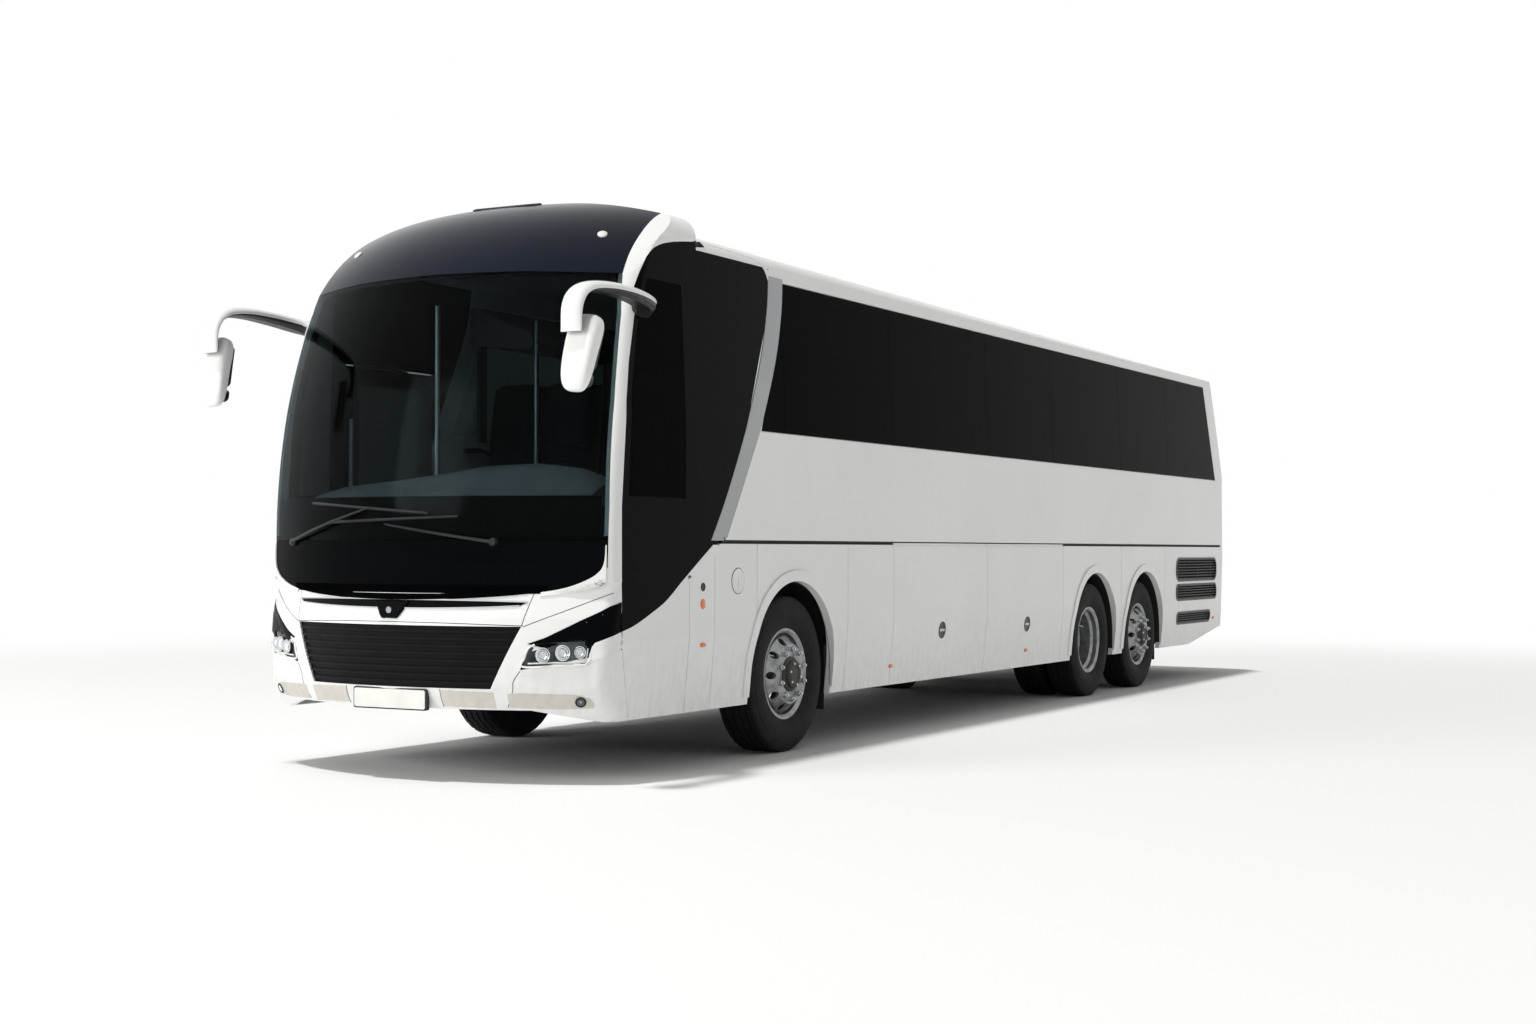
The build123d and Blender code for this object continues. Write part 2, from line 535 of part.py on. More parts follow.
with BuildPart() as arch:
    add(side_prism([*PILLAR_REAR, (DOME_REAR_X, 3700), (6800, 3700), (6800, 1165)], 1, 0))
    add(side_prism([*PILLAR_REAR, (DOME_REAR_X, 3700), (6800, 3700), (6800, 1165)], -1, 0))
    add(WALLS["nose"], mode=Mode.INTERSECT)
    add(dome_rear & end_prism(rect(-1300, 3240, 1300, 3700), DOME_REAR_X - 10, 6700))
    edge = grow(SCREEN_EDGE, -LEDGE)
    add(end_prism(mirrored([(0, 1100), (SCREEN_EDGE[0][0] - LEDGE, 1100), *edge[:8],
                            (1150 - LEDGE, SCREEN_CORNER_Z), *SCREEN_EDGE[8:], (0, 3700)]),
                  DOME_REAR_X - 100, 6800), mode=Mode.SUBTRACT)
    add(end_prism(mirrored([(0, 1000), *SCREEN_EDGE[:9], (0, SCREEN_CORNER_Z)]), 5500, 6800)
        & WINDSCREEN_REBATE, mode=Mode.SUBTRACT)
    add(lid.part, mode=Mode.SUBTRACT)
export(arch.part, "pillar_arch")

mask_side = [(5965 + FIT, SILL_Z), (6098 + FIT, 806), (6101 + FIT, 1165), (6101 + FIT, 1400),
             (6800, 1400), (6800, SILL_Z)]
BUMPER_TOP = [(0, 545), (665, 545), (800, 622), (1150, 690), (1300, 760)]
BUMPER_FOOT = [(0, 430), (850, 430), (1180, SILL_Z), (1300, SILL_Z)]
LAMP_BEZEL = [(822, 664), (1192, 742), (1300, 790), (1300, 992), (1235, 985), (1120, 915),
              (960, 800), (846, 757)]
LAMP = [(840, 676), (1178, 748), (1150, 838), (1040, 826), (866, 752)]


def both(outline, x0=5500, x1=6800):
    """Blocks along X on both sides of the centre line from one (Y, Z) outline."""
    with BuildPart() as blocks:
        for points in (outline, [(-y, z) for y, z in outline]):
            with BuildSketch(Plane.YZ.offset(x0)):
                with BuildLine():
                    Polyline(*points, close=True)
                make_face()
        extrude(amount=x1 - x0)
    return blocks.part


side_limit = side_prism(mask_side, 1, 0) + side_prism(mask_side, -1, 0)
with BuildPart() as bumper:
    add(end_prism(mirrored(BUMPER_FOOT + BUMPER_TOP[::-1]), 5500, 6800))
    add(WALLS["mask"], mode=Mode.INTERSECT)
    add(side_limit, mode=Mode.INTERSECT)
pairs["bumpers"].append(bumper.part)

with BuildPart() as mask:
    add(end_prism(mirrored([*[(y, z + FIT) for y, z in BUMPER_TOP], (1300, 1165 - FIT),
                            (1236, 1165 - FIT), *[(y, z - SEAM) for y, z in LID_FOOT[3::-1]]]),
                  5500, 6800))
    add(WALLS["mask"], mode=Mode.INTERSECT)
    add(side_limit, mode=Mode.INTERSECT)
    add(end_prism(mirrored([(0, GRILLE_FOOT[1] - FIT), (GRILLE_FOOT[0] + FIT, GRILLE_FOOT[1] - FIT),
                            (GRILLE_TOP[0] + FIT, GRILLE_TOP[1] + FIT), (0, GRILLE_TOP[1] + FIT)]),
                  5500, 6800), mode=Mode.SUBTRACT)
    add(both(LAMP_BEZEL), mode=Mode.SUBTRACT)
export(mask.part, "front_mask")

GRILLE_BARS, BAR_PITCH, BAR_H = 8, 42, 15
BAR_SPREAD = (GRILLE_TOP[0] - GRILLE_FOOT[0]) / (GRILLE_TOP[1] - GRILLE_FOOT[1])
BAR_SHELL = shell(mask_nose, 5, 20)
with BuildPart() as grille:
    add(end_prism(mirrored([(0, GRILLE_FOOT[1]), GRILLE_FOOT, GRILLE_TOP, (0, GRILLE_TOP[1])]),
                  5500, 6800))
    add(shell(mask_nose, 18, WALL), mode=Mode.INTERSECT)
    for n in range(GRILLE_BARS):
        z = GRILLE_FOOT[1] + 32 + n * BAR_PITCH
        half = GRILLE_FOOT[0] + (z - GRILLE_FOOT[1]) * BAR_SPREAD - 6
        add(end_prism(rect(-half, z - BAR_H / 2, half, z + BAR_H / 2), 5500, 6800) & BAR_SHELL)
export(grille.part, "front_grille")

with BuildPart() as bezels:
    add(both([(y, z) for y, z in LAMP_BEZEL]))
    add(shell(mask_nose, 4, WALL), mode=Mode.INTERSECT)
    add(side_limit, mode=Mode.INTERSECT)
    add(both(LAMP) & shell(mask_nose, -5, 34), mode=Mode.SUBTRACT)
export(bezels.part, "headlamp_bezels")

with BuildPart() as lamps:
    add(both(LAMP))
    add(shell(mask_nose, 6, 34 - FIT), mode=Mode.INTERSECT)
pairs["lamps"].append(lamps.part)

# --- Tail --------------------------------------------------------------------------------
REAR_WINDOW = [(0, 2180), (940, 2180), (900, 2860), (0, 2890)]
ENGINE_LID = [(0, 655), (930, 655), (930, 1560), (0, 1560)]
TAIL_BUMPER_Z = 640
REAR_LAMP_Z = (1450, 2100)
LID_HINGE_X, LID_HINGE_Z = TAIL_X + 8, ENGINE_LID[2][1] + 8
HINGE_YS = (-260, 260)


def tail_block(outline):
    return end_prism(mirrored(outline), TAIL_X - 100, TAIL_X + 1100)


lamp_slots = side_prism(rect(PANEL_REAR_X - 290, REAR_LAMP_Z[0], PANEL_REAR_X - 60, REAR_LAMP_Z[1]),
                        1) + side_prism(rect(PANEL_REAR_X - 290, REAR_LAMP_Z[0],
                                             PANEL_REAR_X - 60, REAR_LAMP_Z[1]), -1)
with BuildPart() as rear:
    rear_side = [(-7000, TAIL_BUMPER_Z), (PANEL_REAR_X - FIT, TAIL_BUMPER_Z),
                 (PANEL_REAR_X - FIT, GLASS_BOTTOM_Z + LEDGE),
                 (SIDE_GLASS_REAR[0][0] + LEDGE, GLASS_BOTTOM_Z + LEDGE),
                 (SIDE_GLASS_REAR[1][0] + LEDGE, GLASS_TOP_Z - LEDGE - FIT),
                 (ROOF_REAR_X - FIT, GLASS_TOP_Z - LEDGE - FIT), (ROOF_REAR_X - FIT, 3600),
                 (-7000, 3600)]
    add(side_prism(rear_side, 1, 0))
    add(side_prism(rear_side, -1, 0))
    add(WALLS["main"], mode=Mode.INTERSECT)
    for side in (1, -1):
        pocket = side_prism([(SIDE_GLASS_REAR[0][0] - SEAM, GLASS_BOTTOM_Z - SEAM),
                             (SIDE_GLASS_REAR[1][0] - SEAM, GLASS_TOP_Z + SEAM),
                             (-5000, GLASS_TOP_Z + SEAM), (-5000, GLASS_BOTTOM_Z - SEAM)], side)
        add(pocket & REBATES["main"], mode=Mode.SUBTRACT)
    add(tail_block([(y - LEDGE if y else 0, z + (LEDGE if z < 2500 else -LEDGE))
                    for y, z in REAR_WINDOW]), mode=Mode.SUBTRACT)
    add(tail_block(REAR_WINDOW) & REBATES["main"], mode=Mode.SUBTRACT)
    add(tail_block([(y + GAP if y else 0, z + GAP if z > 1000 else 600)
                    for y, z in ENGINE_LID]), mode=Mode.SUBTRACT)
    add(lamp_slots & shell(main_hull, 0, 30 + FIT), mode=Mode.SUBTRACT)
    for y in HINGE_YS:
        with Locations((LID_HINGE_X + 40, y, LID_HINGE_Z)):
            Box(110, 60, 32, mode=Mode.SUBTRACT)
        for dy in (-40, 40):
            with Locations(Location((LID_HINGE_X, y + dy, LID_HINGE_Z), (90, 0, 0))):
                Cylinder(8, 20)
                Cylinder(4 + FIT, 30, mode=Mode.SUBTRACT)
            with Locations((LID_HINGE_X + 18, y + dy, LID_HINGE_Z + 14)):
                Box(24, 20, 20)
export(rear.part, "rear_wall")

with BuildPart() as window:
    add(tail_block([(y - 3 if y else 0, z + (3 if z < 2500 else -3)) for y, z in REAR_WINDOW]))
    add(PANES["main"], mode=Mode.INTERSECT)
pairs["windows"].append(window.part)

with BuildPart() as lamps:
    add(lamp_slots)
    add(shell(main_hull, 2, 30), mode=Mode.INTERSECT)
pairs["lamps"].append(lamps.part)

with BuildPart() as engine_lid:
    add(tail_block(ENGINE_LID))
    add(WALLS["main"], mode=Mode.INTERSECT)
    for y in HINGE_YS:
        with Locations(Location((LID_HINGE_X, y, LID_HINGE_Z), (90, 0, 0))):
            Cylinder(8, 50)
            Cylinder(4, 104)
        with Locations((LID_HINGE_X + 12, y, LID_HINGE_Z - 12)):
            Box(24, 50, 24)
export(engine_lid.part, "engine_lid")

with BuildPart() as tail_bumper:
    foot = [(-7000, 540), (PANEL_REAR_X - 60, 520), (PANEL_REAR_X - FIT, SILL_Z + 151),
            (PANEL_REAR_X - FIT, TAIL_BUMPER_Z - FIT), (-7000, TAIL_BUMPER_Z - FIT)]
    add(side_prism(foot, 1, 0))
    add(side_prism(foot, -1, 0))
    add(WALLS["main"], mode=Mode.INTERSECT)
pairs["bumpers"].append(tail_bumper.part)

# --- Doors: each leaf swings out on cranked arms from a post beside the doorway ----------
POST_R, ARM_R, ARM_LEN, POST_Y = 20, 14, 500, 1105
DOORS = {  # leaf, glass bottom and top, body, swing direction, foot of post, arm heights
    "front": (FRONT_DOOR, (1250, 2470), "cab", 1, CAB_FLOOR_TOP, (1120, 2535)),
    "mid": (MID_DOOR, (1640, 2010), "main", -1, DECK_TOP, (1530, 2080))}
for name, (door, z_glass, hull, ahead, foot_z, arm_z) in DOORS.items():
    x0, x1, z0, z1 = door
    post_x = (x1 if ahead > 0 else x0) + ahead * (GAP + POST_R + 2)
    pin_x = post_x - ahead * ARM_LEN
    with BuildPart() as leaf:
        add(side_prism(rect(x0, z0, x1, z1), -1))
        add(WALLS[hull], mode=Mode.INTERSECT)
        add(side_prism(rect(x0 + 90 + LEDGE, z_glass[0] + LEDGE, x1 - 90 - LEDGE,
                            z_glass[1] - LEDGE), -1), mode=Mode.SUBTRACT)
        add(side_prism(rect(x0 + 90, z_glass[0], x1 - 90, z_glass[1]), -1) & REBATES[hull],
            mode=Mode.SUBTRACT)
        for z in arm_z:
            with Locations((pin_x, -(POST_Y + HALF_WIDTH - WALL) / 2, z - ARM_R - 12)):
                Box(50, HALF_WIDTH - WALL - POST_Y + 40, 20)
            with Locations((pin_x, -POST_Y, z)):
                Cylinder(8, 2 * ARM_R + 8)
        add(cab_side_solid(-FIT) if hull == "cab" else main_hull(-FIT), mode=Mode.INTERSECT)
    export(leaf.part, f"{name}_door")
    with BuildPart() as glass:
        add(side_prism(rect(x0 + 93, z_glass[0] + 3, x1 - 93, z_glass[1] - 3), -1))
        add(PANES[hull], mode=Mode.INTERSECT)
    export(glass.part, f"{name}_door_glass")
    with BuildPart() as arms:
        with Locations((post_x, -POST_Y, (foot_z + arm_z[1] + POST_R) / 2 + FIT)):
            Cylinder(POST_R, arm_z[1] + POST_R - foot_z)
        for z in arm_z:
            with BuildLine(mode=Mode.PRIVATE) as crank:
                FilletPolyline((post_x, -POST_Y, z), (post_x - ahead * 12, -POST_Y + 108, z),
                               (post_x - ahead * 83, -POST_Y + 192, z), (pin_x, -POST_Y, z),
                               radius=30)
            with BuildSketch(Plane(origin=crank.wires()[0] @ 0, z_dir=crank.wires()[0] % 0)):
                Circle(ARM_R)
            sweep(path=crank.wires()[0])
            with Locations((pin_x, -POST_Y, z)):
                Cylinder(ARM_R + 8, 2 * ARM_R - 4)
                Cylinder(8 + FIT, 60, mode=Mode.SUBTRACT)
    export(arms.part, f"{name}_door_arm")

# --- Floors and bulkheads ----------------------------------------------------------------
HOLD_FRONT_X, HOLD_REAR_X, BULKHEAD = 3290, -1320, 30
CAB_STEP_X = 4600                       # front edge of the passenger floor
STAIR_WALL_Y, MID_STAIR_Y = 480, 400    # inner edges of the two stairwells
inside_main = main_hull(WALL + FIT)
inside_cab = cab_side_solid(WALL + FIT)
with BuildPart() as deck:
    add(end_prism(rect(-1400, DECK_BOTTOM, 1400, DECK_TOP), TAIL_X, CAB_STEP_X))
    add(inside_main, mode=Mode.INTERSECT)
    add(end_prism(rect(-ENGINE_LID[1][0] - GAP, 1300, ENGINE_LID[1][0] + GAP, 1500), -6800,
                  -6800 + 250), mode=Mode.SUBTRACT)
    add(end_prism(rect(-1400, DECK_BOTTOM - 10, -MID_STAIR_Y, DECK_TOP + 10),
                  MID_DOOR[0] + 15, MID_DOOR[1] - 15), mode=Mode.SUBTRACT)

with BuildPart() as cab_floor:
    add(end_prism(rect(-1400, CAB_FLOOR_TOP - CAB_FLOOR, 1400, CAB_FLOOR_TOP), CAB_STEP_X, 6050))
    add(inside_cab, mode=Mode.INTERSECT)
    add(end_prism(rect(-1400, CAB_FLOOR_TOP - 100, -STAIR_WALL_Y, CAB_FLOOR_TOP + 10),
                  FRONT_DOOR[0] + 15, FRONT_DOOR[1] - 15), mode=Mode.SUBTRACT)

with BuildPart() as hold:
    with BuildSketch(Plane.XZ.offset(-HOLD_Y)):
        with BuildLine():
            Polyline((HOLD_REAR_X, HOLD_FLOOR_Z), (HOLD_FRONT_X, HOLD_FLOOR_Z),
                     (HOLD_FRONT_X, DECK_BOTTOM), (HOLD_FRONT_X - BULKHEAD, DECK_BOTTOM),
                     (HOLD_FRONT_X - BULKHEAD, HOLD_FLOOR_Z + HOLD_FLOOR),
                     (HOLD_REAR_X + BULKHEAD, HOLD_FLOOR_Z + HOLD_FLOOR),
                     (HOLD_REAR_X + BULKHEAD, DECK_BOTTOM), (HOLD_REAR_X, DECK_BOTTOM), close=True)
        make_face()
    extrude(amount=2 * HOLD_Y)
    add(end_prism(rect(-1400, 300, -MID_STAIR_Y, DECK_BOTTOM), HOLD_REAR_X + BULKHEAD,
                  MID_DOOR[1] + 40), mode=Mode.SUBTRACT)


STEP_EDGE_Y, RISER = 1180, 30              # outer edge of the lowest tread, upright at the top


def stairs(x0, x1, inner_y, top_z, treads, bottom_z, base):
    """Stepped block that climbs from the doorway, with a wall up to the floor it leads to."""
    depth = (STEP_EDGE_Y - inner_y - RISER) / treads
    rise = (top_z - base) / (treads + 1)
    points = [(-inner_y, bottom_z), (-STEP_EDGE_Y, bottom_z)]
    for n in range(treads):
        y, z = n * depth - STEP_EDGE_Y, base + n * rise
        points += [(y, z), (y + depth, z)]
    return end_prism([*points, (-inner_y - RISER, top_z), (-inner_y, top_z)], x0, x1)


with BuildPart() as passenger_floor:
    add(deck.part)
    add(stairs(MID_DOOR[0] + 20, MID_DOOR[1] - 20, MID_STAIR_Y + FIT, DECK_TOP, 5, 370, 400))
export(passenger_floor.part, "passenger_floor")

AISLE_STEP, AISLE_RISE = 250, 150          # two steps from the cab up to the aisle
with BuildPart() as cab_floors:
    add(cab_floor.part)
    add(stairs(FRONT_DOOR[0] + 20, FRONT_DOOR[1] - 20, STAIR_WALL_Y + FIT, CAB_FLOOR_TOP, 3, 370,
               400))
    for n in (1, 2):
        with Locations((CAB_STEP_X + n * AISLE_STEP / 2, 0,
                        CAB_FLOOR_TOP + (2.5 - n) * AISLE_RISE)):
            Box(n * AISLE_STEP, 600, AISLE_RISE)
export(cab_floors.part, "cab_floor")

# --- Wheel housings: inner wall and end wall of each arch --------------------------------
HOUSING_Z = 620
with BuildPart() as housings:
    for side in (1, -1):
        for x0, x1, wall_x in ((HOLD_FRONT_X, CAB_STEP_X, CAB_STEP_X - HOUSING_WALL),
                               (-4260, HOLD_REAR_X, -4260)):
            y0, y1 = HOUSING_Y, HOUSING_Y + HOUSING_WALL
            add(end_prism(rect(min(side * y0, side * y1), HOUSING_Z,
                               max(side * y0, side * y1), DECK_BOTTOM), x0, x1))
            a, b = side * y0, side * DECK_Y
            add(end_prism(rect(min(a, b), HOUSING_Z, max(a, b), DECK_BOTTOM),
                          wall_x, wall_x + HOUSING_WALL))
            a, b = side * y0, side * (HOLD_Y + 10)
            add(end_prism(rect(min(a, b), HOLD_FLOOR_Z, max(a, b), HOUSING_Z),
                          wall_x, wall_x + HOUSING_WALL))
    add(inside_cab + inside_main, mode=Mode.INTERSECT)
    add(hold.part)
export(housings.part, "luggage_hold")

# --- Chassis -----------------------------------------------------------------------------
with BuildPart() as chassis:
    for x0, x1, members in ((HOLD_FRONT_X, 5950, (4640, 5300, 5890)),
                            (-6560, HOLD_REAR_X, (-1500, -2900, -4400, -6500))):
        for side in (1, -1):
            with Locations(((x0 + x1) / 2, side * RAIL_Y, RAIL_Z + RAIL_H / 2)):
                Box(x1 - x0, RAIL_W, RAIL_H)
        for x in members:
            with Locations((x, 0, RAIL_Z + RAIL_H / 2)):
                Box(60, 2 * RAIL_Y, RAIL_H)
            if x > 4000:
                for side in (1, -1):
                    with Locations((x, side * RAIL_Y, (RAIL_Z + RAIL_H + CAB_FLOOR_TOP - CAB_FLOOR) / 2)):
                        Box(60, 60, CAB_FLOOR_TOP - CAB_FLOOR - RAIL_Z - RAIL_H)
export(chassis.part, "chassis_rails")

with BuildPart() as engine:
    with Locations((-5650, 0, 830)):
        Box(1400, 2 * (RAIL_Y - RAIL_W / 2 - FIT), 700)
    add(inside_main, mode=Mode.INTERSECT)
export(engine.part, "engine")

# --- Wheels ------------------------------------------------------------------------------
TYRE = [(104, RIM_R + FIT), (104, 304), (119, 304), (134, 340), (148, 405), (144, 455),
        (133, 492), (TREAD_WIDTH / 2, 512), (106, TYRE_R), (-106, TYRE_R),
        (-TREAD_WIDTH / 2, 512), (-133, 492), (-144, 455), (-148, 405), (-134, 340),
        (-119, 304), (-104, 304), (-104, RIM_R + FIT)]
BARREL = [(-117, RIM_FLANGE_R), (-105, RIM_FLANGE_R), (-105, RIM_R), (-58, RIM_R), (-38, 262),
          (38, 262), (58, RIM_R), (105, RIM_R), (105, RIM_FLANGE_R), (117, RIM_FLANGE_R),
          (117, 288), (104, 274), (66, 274), (46, 250), (-46, 250), (-66, 274), (-104, 274),
          (-117, 288)]
DISC = [(60, 272), (104, 252), (DISC_OFFSET, 200), (DISC_OFFSET, 90),
        (DISC_OFFSET - DISC_THICK, 90), (DISC_OFFSET - DISC_THICK, 195), (94, 243), (56, 258)]


def turn(outlines, x, y, side):
    """Revolve (outboard offset, radius) outlines about a wheel's axis."""
    with BuildPart() as turned:
        with BuildSketch(Plane.YZ.offset(x)):
            for outline in outlines:
                with BuildLine():
                    Polyline(*[(side * (y + a), TYRE_R + r) for a, r in outline], close=True)
                make_face()
        revolve(axis=Axis((x, 0, TYRE_R), (0, 1, 0)), revolution_arc=360)
    return turned.part


def flip(outline):
    return [(-a, r) for a, r in outline]


def wheel_plane(x, y, side):
    return Plane(origin=(x, side * y, TYRE_R), x_dir=(1, 0, 0), z_dir=(0, side, 0))


for side, tag in ((1, "left"), (-1, "right")):
    for axle, x in (("front", AXLE_FRONT_X), ("tag", AXLE_TAG_X)):
        export(turn([TYRE], x, TRACK_Y, side), f"tyre_{axle}_{tag}")
        hub = [(-84, SPINDLE_R + FIT), (-84, 100), (DISC_OFFSET - 5, 100), (DISC_OFFSET + 20, 92),
               (DISC_OFFSET + 24, 70), (DISC_OFFSET + 24, 0), (DISC_OFFSET - 60, 0),
               (DISC_OFFSET - 60, SPINDLE_R + FIT)]
        with BuildPart() as wheel:
            add(turn([BARREL, DISC, hub], x, TRACK_Y, side))
            with Locations(wheel_plane(x, TRACK_Y + DISC_OFFSET - 40, side)):
                with PolarLocations(226, HAND_HOLES):
                    Cylinder(25, 160, mode=Mode.SUBTRACT)
        export(wheel.part, f"wheel_{axle}_{tag}")

    x = AXLE_DRIVE_X
    with BuildPart() as tyres:
        add(turn([TYRE], x, TWIN_OUTER_Y, side))
        add(turn([TYRE], x, TWIN_INNER_Y, side))
    export(tyres.part, f"tyres_drive_{tag}")
    meet = (TWIN_OUTER_Y + TWIN_INNER_Y) / 2 - TWIN_INNER_Y
    hub = [(-60, STUB_R + FIT), (-60, 120), (meet + 20, 120), (meet + 75, 105),
           (meet + 95, 70), (meet + 95, 0), (meet + 40, 0), (meet + 40, STUB_R + FIT)]
    with BuildPart() as wheel:
        add(turn([BARREL, DISC, hub], x, TWIN_INNER_Y, side))
        add(turn([BARREL, flip(DISC)], x, TWIN_OUTER_Y, side))
        with Locations(wheel_plane(x, (TWIN_INNER_Y + TWIN_OUTER_Y) / 2, side)):
            with PolarLocations(226, HAND_HOLES):
                Cylinder(25, 200, mode=Mode.SUBTRACT)
    export(wheel.part, f"wheels_drive_{tag}")

# --- Axles -------------------------------------------------------------------------------
EYE_R, EYE_H, BEAM_Z, BEAM_H = 50, 130, 510, 100
BELLOWS_R = 105
for axle, x in (("front", AXLE_FRONT_X), ("tag", AXLE_TAG_X)):
    with BuildPart() as beam:
        with Locations((x, 0, BEAM_Z)):
            Box(100, 2 * (KINGPIN_Y - 20), BEAM_H)
        for side in (1, -1):
            with Locations((x, side * KINGPIN_Y, TYRE_R - 4)):
                Cylinder(EYE_R, EYE_H)
                Cylinder(KINGPIN_R + FIT, EYE_H + 10, mode=Mode.SUBTRACT)
            top = RAIL_Z - FIT
            with Locations((x, side * RAIL_Y, (BEAM_Z + BEAM_H / 2 + top) / 2)):
                Cylinder(BELLOWS_R, top - BEAM_Z - BEAM_H / 2)
    export(beam.part, f"axle_{axle}")
    for side, tag in ((1, "left"), (-1, "right")):
        with BuildPart() as knuckle:
            with Locations((x, side * KINGPIN_Y, TYRE_R - 4)):
                Cylinder(KINGPIN_R, EYE_H + 30)
            for z in (TYRE_R - 4 + EYE_H / 2 + 22, TYRE_R - 4 - EYE_H / 2 - 22):
                with Locations((x, side * (KINGPIN_Y + 22), z)):
                    Box(90, 126, 34)
            with Locations((x, side * (KINGPIN_Y + 74), TYRE_R - 4)):
                Box(130, 24, EYE_H + 78)
            with Locations(wheel_plane(x, (KINGPIN_Y + 80 + TRACK_Y + 60) / 2, side)):
                Cylinder(SPINDLE_R, TRACK_Y + 60 - KINGPIN_Y - 80)
        export(knuckle.part, f"knuckle_{axle}_{tag}")

with BuildPart() as drive:
    with Locations(wheel_plane(AXLE_DRIVE_X, 0, 1)):
        Cylinder(75, 2 * 640)
        Cylinder(205, 330)
        Cylinder(STUB_R, 2 * 930)
    for side in (1, -1):
        with Locations((AXLE_DRIVE_X, side * RAIL_Y, TYRE_R)):
            Box(760, 110, 60)
        for dx in (-270, 270):
            with Locations((AXLE_DRIVE_X + dx, side * RAIL_Y, (TYRE_R + 30 + RAIL_Z - FIT) / 2)):
                Cylinder(BELLOWS_R, RAIL_Z - FIT - TYRE_R - 30)
export(drive.part, "axle_drive")

# --- Mud flaps ---------------------------------------------------------------------------
with BuildPart() as mud_flaps:
    for side in (1, -1):
        for x, z1 in ((HOLD_FRONT_X + FIT + 3, 700), (-4240 + FIT + 3, 700)):
            with Locations((x, side * 1045, (240 + z1) / 2)):
                Box(6, 250, z1 - 240)
export(mud_flaps.part, "mud_flaps")

# --- Cab and saloon ----------------------------------------------------------------------
with BuildPart() as dash:
    with BuildSketch(Plane.XZ.offset(-1120)):
        with BuildLine():
            Polyline((5720, CAB_FLOOR_TOP), (5720, 1490), (5800, 1610), (6600, 1600), (6600, 1480),
                     (6120, 1250), (6040, CAB_FLOOR_TOP), close=True)
        make_face()
    extrude(amount=2240)
    add(glazed_nose(WALL + FIT), mode=Mode.INTERSECT)
export(dash.part, "dashboard")

WHEEL_TILT = Plane(origin=(5540, 600, 1760), x_dir=(0, 1, 0), z_dir=(-0.45, 0, 0.893))
with BuildPart() as steering:
    with Locations(WHEEL_TILT):
        Torus(225, 15)
        Cylinder(60, 40)
        Box(450, 26, 14)
    with Locations(WHEEL_TILT.offset(-240)):
        Cylinder(35, 440)
    add(dash.part, mode=Mode.SUBTRACT)
column = [s for s in steering.part.solids() if s.bounding_box().max.Z > 1700]
with BuildPart() as steering_wheel:
    add(column)
export(steering_wheel.part, "steering_wheel")

SEAT = [(0, 330), (0, 450), (-420, 430), (-520, 1120), (-600, 1110), (-490, 330), (-360, 330),
        (-360, 0), (-110, 0), (-110, 330)]
SEAT_ROWS, SEAT_PITCH, FIRST_ROW_X = 13, 800, 4480


def seat(x, z, y0, y1):
    with BuildPart() as chair:
        with BuildSketch(Plane.XZ.offset(-max(y0, y1))):
            with BuildLine():
                Polyline(*[(x + dx, z + dz) for dx, dz in SEAT], close=True)
            make_face()
        extrude(amount=abs(y1 - y0))
    return chair.part


with BuildPart() as seats:
    for row in range(SEAT_ROWS):
        x = FIRST_ROW_X - row * SEAT_PITCH
        add(seat(x, DECK_TOP, 240, 1160))
        if not (x > MID_DOOR[0] - 60 and x - 610 < MID_DOOR[1] + 60):
            add(seat(x, DECK_TOP, -240, -1160))
pairs["seats"].append(seats.part)

with BuildPart() as driver:
    add(seat(5320, CAB_FLOOR_TOP + 150, 360, 860))
    with Locations((5320 - 235, 610, CAB_FLOOR_TOP + 75)):
        Box(250, 400, 150)
pairs["seats"].append(driver.part)

# --- Roof equipment ----------------------------------------------------------------------
skin = main_hull(-FIT)
with BuildPart() as cooler:
    with BuildSketch(Plane.XZ.offset(-470)):
        with BuildLine():
            Polyline((-1900, 3200), (-1900, 3400), (-1700, 3445), (900, 3465), (1250, 3420),
                     (1250, 3200), close=True)
        make_face()
    extrude(amount=940)
    fillet(cooler.edges().filter_by(Axis.Y).sort_by(Axis.Z)[-2:], radius=40)
    add(skin, mode=Mode.SUBTRACT)
export(cooler.part, "roof_cooler")

# --- Mirrors -----------------------------------------------------------------------------
body_skin = glazed_nose(-FIT) + cab_side_solid(-FIT)
MIRROR_T, MIRROR_W, MIRROR_H, MIRROR_R, MIRROR_TILT = 130, 230, 450, 48, 8
core_t, core_h = MIRROR_T / 2 - MIRROR_R, MIRROR_H / 2 - MIRROR_R
mirror_x = -TAIL_X - MIRROR_R - core_t * cos(radians(MIRROR_TILT)) \
    - core_h * sin(radians(MIRROR_TILT))    # its front touches the end of the bounding box
for side, tag in ((1, "left"), (-1, "right")):
    with BuildPart() as housing:
        Box(MIRROR_T, MIRROR_W, MIRROR_H)
        fillet(housing.edges(), radius=MIRROR_R)
    with BuildPart() as mirror:
        with BuildLine() as route:
            FilletPolyline((5835, side * 1226, 2790), (5900, side * 1330, 2800),
                           (6600, side * 1345, 2795), (6665, side * 1365, 2640), radius=60)
        with BuildSketch(Plane(origin=route.wires()[0] @ 0, z_dir=route.wires()[0] % 0)):
            RectangleRounded(90, 60, 20)
        sweep()
        with Locations(Location((mirror_x, side * 1385, 2455), (0, -MIRROR_TILT, 0))):
            add(housing.part)
        add(body_skin, mode=Mode.SUBTRACT)
    pairs["mirrors"].append(mirror.part)

# --- Like pieces of both ends or sides share a node --------------------------------------
for label, halves in pairs.items():
    with BuildPart() as node:
        for half in halves:
            add(half)
    export(node.part, label)
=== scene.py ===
from math import cos, pi, radians, sin, tau
import bmesh
import bpy
from mathutils import Matrix, Vector
from mathutils.bvhtree import BVHTree


